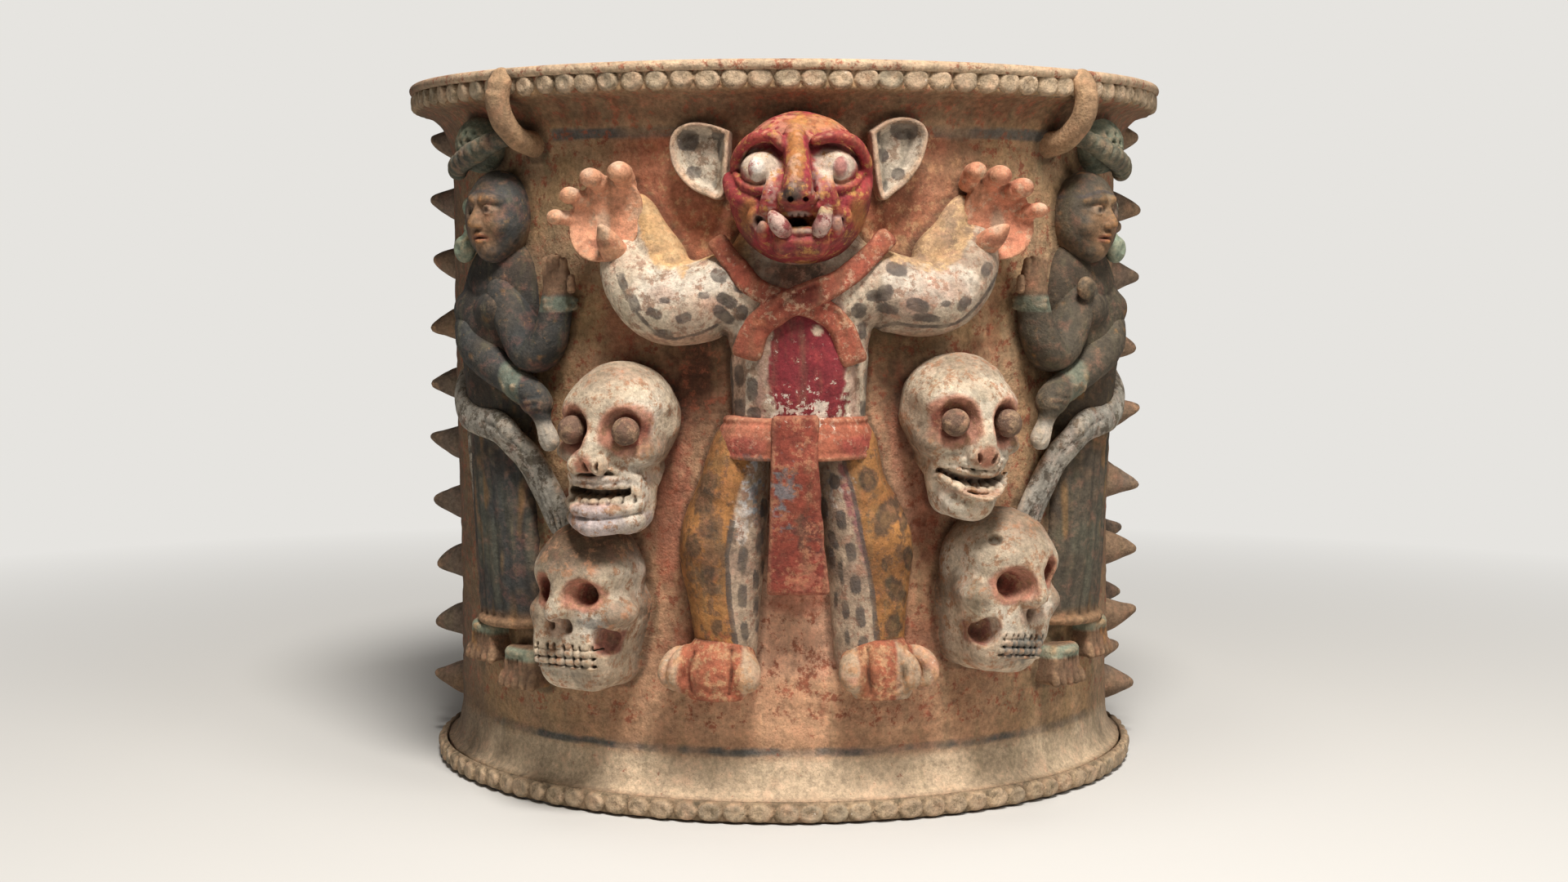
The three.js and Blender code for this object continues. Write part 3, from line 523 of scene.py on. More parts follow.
def clay_material(name, roughness, grit, bare=BUFF):
    """Fired clay under worn slips. The slips' colours and marks are attributes of each piece."""
    material = bpy.data.materials.new(name)
    n = Nodes(material)
    where = n.add("TexCoord").outputs["Object"]
    broad = n.noise(where, 38, 5, 0.6)
    mid = n.noise(where, 150, 5, 0.6)
    fine = n.noise(where, 620, 4, 0.6)
    pores = n.add("TexVoronoi", {"Vector": where, "Scale": 210.0}, feature="F1").outputs["Distance"]
    mark_edge = n.plus(n.attribute("mark"), n.times(n.minus(fine, 0.5), 1.8))
    marked = n.times(n.span(mark_edge, -0.35, 0.45, 1, 0), n.span(mid, 0.3, 0.56, 0.3, 0.86))
    colour = slip_colours(n, where, mid, marked, bare)

    # Light and dark: clouding, grain, painted shade in hollows, pores and specks
    tone = n.times(n.span(broad, 0.25, 0.75, 0.76, 1.2), n.span(mid, 0.28, 0.72, 0.76, 1.2))
    tone = n.times(tone, n.span(n.noise(where, 300, 9, 0.82), 0.32, 0.66, 0.66, 1.26))
    # painted shade: concave places and joins are darkened, standing for the shade that falls in them
    tone = n.times(tone, n.span(n.attribute("hollow_shade"), 0.0, 1.0, 1.0, 0.26))
    tone = n.times(tone, n.span(pores, 0.04, 0.12, 0.75, 1.0))
    grey = n.add("CombineColor", {0: tone, 1: tone, 2: tone}).outputs[0]
    colour = n.mix(1.0, colour, grey, "MULTIPLY")
    specks = n.math("GREATER_THAN", n.noise(where, 800, 2, 0.5), 0.68)
    colour = n.mix(n.times(specks, 0.3), colour, SOOT)

    rough = n.span(mid, 0.3, 0.7, roughness - 0.08, min(roughness + 0.08, 1))
    relief = n.times(n.minus(fine, 0.5), 0.00075 * grit)
    relief = n.plus(relief, n.times(n.minus(mid, 0.5), 0.0013 * grit))
    relief = n.plus(relief, n.times(n.span(pores, 0.0, 0.16, -0.00035 * grit, 0.0), n.span(mid, 0.42, 0.6)))
    relief = n.plus(relief, n.times(marked, 0.00006))
    bump = n.add("Bump", {"Height": relief, "Strength": 0.85, "Distance": 1.0})
    shader = n.add("BsdfPrincipled", {"Base Color": colour, "Roughness": rough, "Normal": bump.outputs[0],
                                      "Specular IOR Level": 0.3})
    n.add("OutputMaterial", {0: shader.outputs[0]})
    return material


EARTH = clay_material("fired_clay", 0.88, 1.15)
SLIP = clay_material("slipped_clay", 0.84, 0.85)
GLOSSY_SLIP = clay_material("burnished_slip", 0.72, 0.7, bare=OCHRE)


def set_values(mesh, name, values):
    """Writes a value or a colour for each point of a mesh."""
    if np.ndim(values) == 2:
        layer = mesh.attributes.new(name, "FLOAT_COLOR", "POINT")
        full = np.ones((len(values), 4), np.float32)
        full[:, :3] = np.clip(values, 0, 1)
        layer.data.foreach_set("color", full.ravel())
    else:
        layer = mesh.attributes.new(name, "FLOAT", "POINT")
        layer.data.foreach_set("value", np.asarray(values, np.float32))


def add_object(name, data):
    made = bpy.data.objects.new(name, data)
    bpy.context.scene.collection.objects.link(made)
    return made


def add_piece(name, points, faces, coat, hollow_shade, edge, material, nodes):
    """A mesh in the row frame that stands for its CAD nodes."""
    mesh = bpy.data.meshes.new(name)
    mesh.vertices.add(len(points))
    mesh.vertices.foreach_set("co", (points * MM).astype(np.float32).ravel())
    mesh.loops.add(faces.size)
    mesh.loops.foreach_set("vertex_index", faces.astype(np.int32).ravel())
    mesh.polygons.add(len(faces))
    mesh.polygons.foreach_set("loop_start", np.arange(0, faces.size, 4, dtype=np.int32))
    mesh.update(calc_edges=True)
    mesh.polygons.foreach_set("use_smooth", np.ones(len(faces), bool))
    values = (("paint", coat.rgb), ("under", coat.under), ("wear", coat.wear), ("mark", coat.mark),
              ("fleck", coat.fleck), ("hollow_shade", hollow_shade), ("edge", edge))
    for kind, value in values:
        set_values(mesh, kind, value)
    mesh.materials.append(material)
    piece = add_object(name, mesh)
    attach(piece, "root")
    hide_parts(*nodes)


LUTED = []  # the clays that stand on the wall, which is smeared up round them


def fire(name, clay, base, paint, material=SLIP, nodes=None, lumps=0.45, seed=1, luted=True):
    """Finishes a piece: hand-made unevenness, its surface, its wear, and its slips."""
    clay.roughen(lumps, 13, seed)
    clay.roughen(lumps * 0.4, 5, seed + 1)
    if luted:
        LUTED.append(clay)
    spread = blur(blur(clay.field.clip(-BAND, BAND), 2), 2)
    points, faces = clay.surface()
    bend = clay.sample(points, spread)
    # how concave the clay is, which the materials darken as painted shade in its hollows
    hollow_shade = ramp(-bend, 0.12, 1.3)
    edge = ramp(bend, 0.18, 1.1)
    coat = Coat(clay, points, base)
    paint(coat)
    add_piece(name, coat.world, faces[:, ::-1], coat, hollow_shade, edge, material, nodes or [name])


def inside_outline(points, across, up):
    """Distance to a closed outline at each place across and up, below 0 inside it."""
    x, z = np.meshgrid(across, up, indexing="ij")
    inside = np.zeros(x.shape, bool)
    for a, b in zip(points[:-1], points[1:]):
        d = b - a
        crosses = (a[1] > z) != (b[1] > z)
        at = a[0] + (z - a[1]) * d[0] / (d[1] if abs(d[1]) > 1e-9 else 1e-9)
        inside ^= crosses & (x < at)
    return np.where(inside, -1, 1) * np.sqrt(nearest(points, x, z).astype(float))


def bent(angle):
    """Millimetres across, in the bent flat space, of an angle round the vessel."""
    return angle * ARC


def body_paint(coat):
    u, v = coat.u, coat.v
    out = np.abs(u - 988)
    coat.wash("ab9480", coat.broad, -0.5, 0.6, 0.75)
    # ochre along the top of the arms and shoulders, with a ragged lower edge
    edge_left = np.interp(u, [770, 806, 835, 850, 880, 930], [332, 332, 338, 322, 312, 332])
    edge_right = np.interp(u, [1050, 1085, 1110, 1130, 1160, 1210], [332, 318, 322, 334, 330, 290])
    inner = np.where(u < 988, u - np.interp(v, [225, 290, 335], [768, 787, 803]),
                     np.interp(v, [225, 290, 335], [1196, 1192, 1164]) - u)
    edge = np.minimum(np.where(u < 988, edge_left, edge_right) - v, inner) + 7 * coat.mid + 3 * coat.fine
    upper = ramp(edge, -2.5, 2.5) * ramp(out, 60, 80)
    coat.blend("c89f6e", upper * 0.95)
    coat.blend("9b7b5c", ramp(edge - 12, 0, 12) * ramp(out, 60, 90) * 0.45)
    # duller brown on the right arm: partly its slip, partly painted shade
    coat.wash("86705f", u, 1060, 1120, 0.35)
    coat.rub("967763", 0.42)
    coat.under[upper > 0.5] = linear("bf9f76")
    for cu, cv, wide, tall in ((812, 352, 34, 22), (870, 345, 30, 20), (1160, 350, 34, 22),
                               (1112, 345, 26, 18)):
        coat.patch(PALE, cu, cv, wide, tall, 0.75, 0.5)
    for cu, cv in ((808, 360), (870, 372), (1118, 372), (1168, 355), (905, 430), (1072, 425)):
        coat.patch("b58a77", cu, cv, 15, 12, 0.45, 0.7)
    coat.patch(PALE, 905, 455, 16, 60, 0.5, 0.6)
    # the bib's worn crimson
    bib = np.maximum(np.abs(u - 988 - 0.02 * (v - 450)) - np.interp(v, [370, 400, 450, 512],
                                                                    [30, 42, 47, 50]),
                     360 - v) + 5 * coat.mid + 2 * coat.fine
    low_wear = 16 * ramp(v, 465, 510) * (0.5 + coat.fine)
    coat.blend("7a1d29", ramp(-(bib + low_wear), -2, 2) * 0.97)
    coat.wear = np.where(bib < 0, 0.12, coat.wear)
    coat.blend("6b1f28", ramp(-(bib + 26), -14, 8) * ramp(coat.broad, -0.6, 0.4) * 0.35)
    coat.blend(CRIMSON, ramp(-np.abs(bib - 8), -10, -2) * 0.35)
    coat.patch("b9a48e", 1001, 405, 6.5, 6.5, 0.95, 0.08, soft=0.12)
    coat.fleck += 0.62 * ramp(v, 455, 505) * bell(u - 985, 56) + 0.34 * ramp(-(bib - 4), -10, 4) + 0.14
    # mottled duller brown towards the right: partly its slip, partly painted shade
    coat.blend("8b7565", ramp(u, 1050, 1110) * ramp(coat.mid + coat.broad + 0.5, 0.0, 0.9) * 0.5)
    # dark spots, and a grey line under the arms and down the flanks
    coat.spots([
        (880, 338, 11, 8, 15), (890, 368, 13, 8, 30), (908, 352, 9, 7, 20), (886, 386, 15, 7, 40),
        (862, 362, 7, 4, 0), (814, 368, 7, 4, 0), (836, 390, 10, 6, -15), (800, 384, 10, 6, 25),
                (776, 372, 6, 12, -20),
        (812, 408, 13, 5, 8), (763, 345, 4, 11, -15), (908, 383, 7, 9, 10), (903, 420, 6, 9, 10),
                (918, 432, 8, 7, 10),
        (905, 460, 6, 13, 0), (921, 476, 7, 14, 0), (906, 500, 7, 12, 0), (923, 508, 8, 9, 0),
        (1052, 380, 9, 9, 20), (1042, 342, 8, 7, 0), (1085, 356, 9, 7, -10), (1076, 362, 16, 7, 0),
                (1087, 378, 14, 6, 12),
        (1124, 374, 15, 8, 10), (1133, 390, 17, 5, 5), (1098, 330, 13, 9, 10), (1158, 372, 6, 4, 0),
                (1208, 330, 6, 10, 25),
        (1180, 372, 6, 10, 40), (1056, 405, 5, 10, -5), (1061, 470, 4, 14, 0), (1058, 500, 5, 10, 0),
                (1048, 440, 5, 8, 0),
    ])
    coat.line([(752, 330), (768, 365), (790, 395), (815, 414), (850, 410), (878, 398)], 1.6, ragged=0.9)
    coat.line([(885, 410), (895, 450), (897, 505)], 1.4, ragged=0.9)
    coat.line([(1222, 335), (1200, 370), (1170, 396), (1130, 400), (1095, 396), (1072, 404)], 1.6, ragged=0.9)
    coat.line([(1066, 415), (1062, 450), (1062, 505)], 1.4, ragged=0.9)
    # painted shadow under the chin across the throat, then duller patches beside it and on the arms
    coat.patch("4a3426", 979, 336, 44, 22, 0.9, 0.3, soft=0.5)
    coat.patch("8f7a66", 918, 318, 22, 16, 0.5, 0.6)
    coat.patch("8f7a66", 1040, 318, 22, 16, 0.5, 0.6)
    for cu, cv, cw, ch in ((800, 305, 10, 7), (852, 312, 10, 6), (1168, 300, 8, 9), (1186, 282, 7, 9),
                           (822, 318, 8, 5)):
        coat.patch("7b6653", cu, cv, cw, ch, 0.5, 0.3)
    coat.blend("a06a4c", ramp(v - np.where(out > 75, 404 + 6 * coat.mid, 999), 0, 8) * 0.5)


body = Clay((-150, -8, 244), (166, 48, 420), 1.4)
body.rope([(0, 4, 254, 42, 31), (0, 4, 285, 42.5, 33), (0, 4, 314, 44, 34), (0, 4, 342, 50, 33),
           (0, 2, 368, 44, 29)])
body.rope([(-32, 8, 358, 22, 22), (-58, 12, 346, 22.5, 23), (-84, 14, 341, 21, 23), (-102, 13, 354, 17, 19),
           (-112, 10, 367, 13.5, 14), (-115, 5, 376, 11, 10)], 8)
body.ball((-85, 10, 361), (19, 14, 16), 8)
# the low web of clay between wrist and shoulder
body.rope([(-107, 2, 411, 4, 4), (-101, 3, 399, 6.5, 7), (-94, 4, 384, 9, 9), (-85, 6, 371, 11, 11)], 7)
body.rope([(113, 2, 411, 4, 4), (107, 3, 400, 6.5, 7), (98, 4, 385, 9, 9), (86, 6, 372, 11, 11)], 7)
body.rope([(32, 8, 360, 22, 22), (60, 12, 350, 22, 23), (88, 14, 347, 20.5, 23), (106, 14, 360, 16.5, 18.5),
           (115, 11, 374, 13.5, 14), (120, 5, 383, 11, 10)], 8)
body.ball((-22, 28, 350), (20, 9, 14), 8)
body.ball((24, 28, 351), (20, 9, 14), 8)
body.ball((0, 30, 300), (30, 8, 24), 10)
body.press([(-44, 346), (-47, 330), (-44, 312)], 4, 2.4)
body.press([(44, 348), (48, 333), (45, 315)], 4, 2.4)
body.press([(-92, 350), (-84, 360), (-72, 362)], 4, 1.2, above=20)
body.press([(96, 356), (88, 366), (76, 366)], 4, 1.2, above=20)
fire("feline_body", body, CREAM, body_paint, seed=3,
     nodes=["feline_torso", "feline_arm_left", "feline_arm_right"])


def hand_paint(coat):
    coat.wash("b98a69", coat.broad + 0.4 * coat.mid, -0.5, 0.7, 0.75)
    coat.wash("a25f49", coat.mid, 0.3, 0.9, 0.45)
    coat.rub("c09c80", 0.34)
    coat.patch("c9ad94", coat.claw[0], coat.claw[1], 8, 16, 0.75)
    for cu, cv in coat.nails:
        coat.patch("cdb29a", cu, cv, 7, 7, 0.6, 0.5)
    coat.patch("7d4a3a", coat.claw[0], coat.claw[1] + 22, 18, 6, 0.5, 0.5)
    coat.fleck += 0.16


HANDS = {
    -1: {
        "palm": (-120, 402), "turn": 16, "size": (20, 29), "clay": "c98f70",
        "tips": [(-110, 429, 7.2), (-125.5, 425.5, 6.6), (-137, 414, 5.8), (-144.5, 400, 5)],
        "thumb": [(-115, 18, 374, 8.5, 9), (-115.5, 30, 384, 6.5, 7), (-115, 40, 393, 2.2, 2.6)],
        "claw": (739, 276), "nails": [(754, 200), (719, 210), (703, 231), (691, 261)],
    },
    1: {
        "palm": (128, 402), "turn": -12, "size": (20, 26.5), "clay": "c27f63",
        "tips": [(111, 430, 6.4), (124.5, 427.5, 6.8), (137.5, 419.5, 6.6), (146.5, 405, 5.2)],
        "thumb": [(116, 18, 379, 8, 9), (119, 30, 386.5, 6.5, 7), (122, 40, 393.5, 2.2, 2.6)],
        "claw": (1222, 272), "nails": [(1210, 197), (1235, 199), (1262, 217), (1278, 250)],
    },
}
for side in MODEL_SIDES:
    facts = HANDS[side]
    px, pz = facts["palm"]
    clay = Clay((px - 38, -6, pz - 42), (px + 38, 56, pz + 42), 1.0)
    wide, tall = facts["size"]
    clay.ball((px, 24, pz - 3), (wide, 36, tall), 3, facts["turn"])
    # the palm is a shallow dish, turned to the front of the vessel and not straight out from its wall
    aim = (-side * 0.44, 0.9)
    clay.ball((px + 60 * aim[0], 18 + 60 * aim[1], pz - 3), (60, 60, 60), 0.8, carve=True)
    for tx, tz, size in facts["tips"]:
        along = np.array([tx - px, tz - pz])
        root = np.array([px, pz - 2]) + along * 0.8
        lift = 22 + 0.45 * side * (tx - px)
        clay.rope([(root[0], lift - 6, root[1], size * 0.9, 9), (tx, lift + 4, tz, size * 0.9, size)], 1.6)
        clay.ball((tx, lift + 8, tz), (size, size * 1.15, size), 0.8)
    clay.rope(facts["thumb"], 2)

    def paint(coat, facts=facts):
        coat.claw, coat.nails = facts["claw"], facts["nails"]
        hand_paint(coat)

    fire(f"feline_hand_{SIDE_NAMES[side]}", clay, linear(facts["clay"]), paint, seed=7 + side,
         lumps=0.4)


def belt_paint(coat):
    coat.rub("b98a72", 0.3)
    coat.wash(SALMON, coat.broad, -0.3, 0.8, 0.8)
    coat.fleck += 0.7 * ramp(-(coat.v - 530), -10, 8) * bell(coat.u - 985, 60) + 0.2
    coat.scuff(SLATE, 925, 562, 26, 10, 0.6)
    coat.patch(CRIMSON, 905, 548, 30, 12, 0.5)
    coat.patch(CRIMSON, 1052, 546, 24, 12, 0.5)


belt = Clay((-64, -8, 236), (64, 52, 280), 1.1)
belt.slab([(-2, 4, 243.5, 52.5, 41), (-2, 4, 257, 50.5, 40.5), (-2, 4, 271, 46.5, 37)], 2.6, box=False)
belt.press([(-52, 266), (-20, 267), (20, 266.5), (52, 266)], 1.6, 1.2)
belt.press([(-52, 248), (-20, 247), (20, 248), (52, 248)], 2.2, 0.8)
fire("feline_belt", belt, "a35d46", belt_paint, seed=11)


def apron_paint(coat):
    coat.rub("a06a50", 0.36)
    coat.wash("6e2a2b", coat.broad, -0.2, 0.9, 0.55)
    coat.scuff("5c6262", 962, 600, 22, 44, 0.75)
    coat.scuff("8c8486", 958, 610, 16, 40, 0.5)
    coat.scuff("3f3430", 985, 650, 26, 40, 0.5)
    coat.scuff(SALMON, 990, 700, 26, 24, 0.5)
    coat.fleck += 0.12 + 0.4 * ramp(-coat.v, -575, -540)


apron = Clay((-26, 10, 148), (24, 56, 284), 1.1)
apron.slab([(-3.4, 42, 273, 13, 5), (-3.4, 43, 240, 13.5, 5), (-2.6, 34, 200, 15.5, 5),
            (-1.0, 25, 155, 19, 5)], 2.4)
apron.press([(-13, 262), (-14, 220), (-16, 170)], 1.4, 0.9)
apron.press([(8, 262), (10, 220), (13, 170)], 1.4, 0.9)
fire("feline_apron", apron, "843f31", apron_paint, seed=13)


def leg_paint(coat, inner, edge):
    """Ochre outside, with dull rubbed patches, and cream inside."""
    coat.wash("7f5533", coat.broad + 0.7 * coat.mid, -0.2, 0.6, 0.75)
    coat.wash("b07c45", -coat.broad + 0.7 * coat.mid, 0.2, 0.8, 0.45)
    coat.rub("6f513a", 0.4)
    coat.blend("ac9781", inner * 0.95)
    coat.blend("8c7262", inner * ramp(coat.mid + coat.broad, 0.0, 0.9) * 0.6)
    coat.under[inner > 0.5] = linear("96735f")
    coat.mark = np.minimum(coat.mark, np.abs(edge) - 1.5 + 1.0 * coat.mid)


def leg_paint_left(coat):
    u, v = coat.u, coat.v
    edge = (u - np.interp(v, [560, 575, 620, 680, 740, 790], [922, 914, 900, 890, 893, 901])) / UNIT
    leg_paint(coat, ramp(edge + 1.5 * coat.mid, -1.5, 1.5), edge)
    coat.mark = np.where(v < 640 + 20 * coat.mid, 9.0, coat.mark)
    coat.scuff("b7b9bb", 922, 600, 18, 40, 0.85)
    coat.scuff("5c6063", 928, 612, 14, 34, 0.6)
    coat.scuff("c2b6ab", 908, 640, 14, 34, 0.7)
    coat.scuff("54483f", 872, 680, 34, 60, 0.5)
    coat.scuff("8d3f33", 880, 785, 30, 14, 0.5)
    for cu, cv, wide, tall in ((862, 618, 13, 20), (868, 648, 15, 16), (868, 592, 10, 14), (866, 705, 10, 12),
                               (873, 722, 8, 8), (878, 768, 7, 9), (848, 668, 8, 14), (897, 655, 7, 10)):
        coat.patch("463a30", cu, cv, wide, tall, 0.72, 0.7, soft=0.14)
    coat.spots([(910, 684, 6, 15, 3), (909, 730, 6, 14, 0), (912, 773, 4.5, 12, 0), (925, 710, 3.6, 12, 4),
                (929, 666, 3.4, 13, 4), (926, 741, 3, 12, 3), (927, 766, 2.6, 8, 3), (936, 622, 5, 11, 0),
                (933, 655, 2.6, 12, 5), (935, 695, 2.6, 9, 0)])
    coat.fleck += 0.14 + 0.3 * bell(u - 920, 22) * bell(v - 600, 40)


def leg_paint_right(coat):
    u, v = coat.u, coat.v
    edge = (np.interp(v, [570, 600, 660, 720, 790], [1034, 1044, 1056, 1068, 1075]) - u) / UNIT
    leg_paint(coat, ramp(edge + 1.5 * coat.mid, -1.5, 1.5), edge)
    coat.patch("7d3f45", 1040, 606, 7, 40, 0.8, 0.8, -14, soft=0.2)
    coat.patch("7b4a50", 1052, 655, 5, 34, 0.7, 0.8, -12, soft=0.2)
    coat.scuff("b5a79c", 1022, 600, 18, 30, 0.7)
    coat.scuff("5c6063", 1018, 588, 12, 20, 0.6)
    coat.scuff("8d3f33", 1090, 790, 30, 12, 0.4)
    for cu, cv, wide, tall, turn in ((1062, 588, 12, 16, 10), (1086, 632, 13, 28, -28), (1113, 684, 7, 14, 8),
                                     (1083, 692, 4, 9, 10), (1096, 722, 11, 18, 24), (1093, 768, 10, 17, -6),
                                     (1106, 640, 5, 14, -10)):
        coat.patch("42382f", cu, cv, wide, tall, 0.82, 0.5, -turn, soft=0.14)
        coat.patch("7b5d3e", cu, cv, wide * 0.5, tall * 0.5, 0.5, 0.9, -turn, soft=0.14)
    coat.spots([(1022, 590, 6, 9, 10), (1008, 622, 5.5, 14, -14), (1030, 636, 6, 12, -10),
                (1021, 662, 4, 13, -20),
                (1042, 676, 6.5, 12, -6), (1018, 682, 4, 14, -16), (1048, 716, 6.5, 12, 0),
                (1030, 700, 3, 14, -5),
                (1036, 748, 4, 11, -6), (1054, 756, 5.5, 14, -4), (1037, 780, 3, 9, -6), (1056, 788, 6, 8, 0),
                (1024, 735, 2.6, 10, 0)])
    coat.fleck += 0.12 + 0.2 * bell(u - 1035, 22) * bell(v - 590, 30)


LEGS = {
    -1: [(-38, 4, 250, 18, 25), (-42, 5, 224, 21.5, 27), (-49.5, 5, 187, 27.5, 27), (-48.5, 4, 150, 23, 24),
         (-47.5, 3, 111, 19, 21)],
    1: [(31, 4, 250, 20, 25), (34, 5, 224, 21.5, 27), (45.5, 5, 187, 28, 27), (46.5, 4, 150, 24.5, 24),
        (47, 3, 111, 22.5, 21)],
}
for side in MODEL_SIDES:
    clay = Clay((-84 if side < 0 else 4, -8, 102), (-4 if side < 0 else 84, 42, 268), 1.25)
    clay.rope(LEGS[side])
    clay.ball((side * 53, 22, 190), (15, 11, 17), 8)
    clay.press([(side * 26, 216), (side * 40, 212), (side * 56, 216)], 4, 1)
    clay.press([(side * 34, 240), (side * 37, 200), (side * 39, 150)], 5, 0.9, above=12)
    paint = leg_paint_left if side < 0 else leg_paint_right
    fire(f"feline_leg_{SIDE_NAMES[side]}", clay, "9c6c3e", paint, seed=17 + side)


def paw_paint(coat):
    coat.wash("8f5a3e", coat.broad + 0.4 * coat.mid, -0.4, 0.5, 0.7)
    coat.wash("b07a58", coat.mid, 0.1, 0.8, 0.5)
    coat.rub("b58a66", 0.45)
    out = np.abs(coat.x) + 2 * coat.mid
    claws = np.maximum(ramp(out, 71, 74), ramp(-out, -36, -33) * ramp(coat.h, 16, 22)) * ramp(coat.h, 8, 16)
    claws = np.maximum(claws, coat.middle_claw * ramp(-np.abs(out - 64), -7, -5) * ramp(coat.h, 24, 28))
    coat.blend("b39d82", claws * 0.85)
    coat.blend(SALMON, claws * ramp(coat.mid, 0.0, 0.7) * 0.5)
    coat.fleck += 0.2 + 0.2 * claws


for side in MODEL_SIDES:
    clay = Clay((-98 if side < 0 else 14, -8, 85), (-14 if side < 0 else 98, 48, 124), 1.0)
    clay.ball((side * 53, 6, 104), (25, 21, 14), 4)
    clay.rope([(side * 49, 8, 114, 19, 17), (side * 51, 18, 104, 19, 13), (side * 51, 24, 96, 18, 9)], 6)
    clay.rope([(side * 38, 12, 110, 8, 10), (side * 33, 24, 105, 8, 9), (side * 32, 30, 98, 7.4, 7)], 3)
    hooks = [(73, 19, 6.4, 10), (81, 12, 5.6, 8)] if side < 0 else [(64, 25, 6.4, 9), (79, 16, 6.4, 8)]
    for x, h, wide, rise in hooks:
        clay.rope([(side * (x - 12), h - 6, 108, wide, 8), (side * (x - 3), h, 104 + rise, wide * 0.9, 6),
                   (side * (x + 2), h + 8, 107, wide * 0.8, 6), (side * (x + 2), h + 11, 98, wide * 0.7, 5),
                   (side * (x - 2), h + 7, 92, wide * 0.6, 4)], 1.6)
    clay.press([(side * 41, 118), (side * 40.5, 106), (side * 42, 90)], 1.5, 2.0, above=14)
    clay.press([(side * 64, 116), (side * 67, 104), (side * 65, 91)], 1.4, 1.6, above=8)
    clay.press([(side * 44, 94), (side * 52, 91), (side * 60, 94)], 2.0, 0.8, above=20)

    def paint(coat, side=side):
        coat.middle_claw = 1.0 if side > 0 else 0.0
        paw_paint(coat)

    fire(f"feline_paw_{SIDE_NAMES[side]}", clay, "9c5a42", paint, seed=23 + side, lumps=0.6)


def scarf_paint(coat):
    coat.wash("7f382c", coat.broad + 0.5 * coat.mid, -0.2, 0.7, 0.7)
    coat.wash("a0684a", coat.mid, 0.1, 0.8, 0.6)
    coat.rub("b08a70", 0.33)
    coat.patch("5e2620", 990, 362, 26, 14, 0.6, 0.5)
    coat.fleck += 0.14


scarf = Clay((-66, 12, 296), (66, 58, 396), 0.95)
for stations in (
    [(-49, 25, 384, 6, 4), (-38, 31, 369, 6, 4), (-27, 37, 355, 6.2, 4.2), (-9, 40, 346, 7, 4.4),
     (8, 40, 342, 7.5, 4.4), (22, 37.5, 330, 7, 4), (30, 36, 308, 7.6, 3.6)],
    [(52, 25, 387, 6, 4), (37, 33, 372, 6, 4), (22, 40.5, 359, 6.6, 4.4), (5, 44.5, 350, 8, 4.8),
     (-12, 43, 341, 8, 4.4), (-25, 39, 329, 7.4, 4), (-31, 37, 312, 8, 3.6)],
):
    band = curve(stations, 5)
    for a, b in zip(band[:-1], band[1:]):
        # a flat strap: rolls laid side by side and smoothed together
        along = (b - a)[[0, 2]]
        across = np.array([along[1], -along[0]]) / max(np.hypot(*along), 1e-6)
        for k in (-0.66, -0.33, 0, 0.33, 0.66):
            shift = np.array([across[0] * k, 0, across[1] * k])
            ends = [tuple(p[:3] + shift * p[3]) + (p[3] * 0.36, p[4] * 0.8) for p in (a, b)]
            scarf.rope(ends, 1.6)
scarf.press([(8, 357), (-6, 349), (-18, 337)], 1.3, 1.4)
scarf.press([(12, 343), (20, 336), (24, 322)], 1.3, 1.0)
fire("feline_scarf", scarf, "94503d", scarf_paint, seed=29, lumps=0.7)


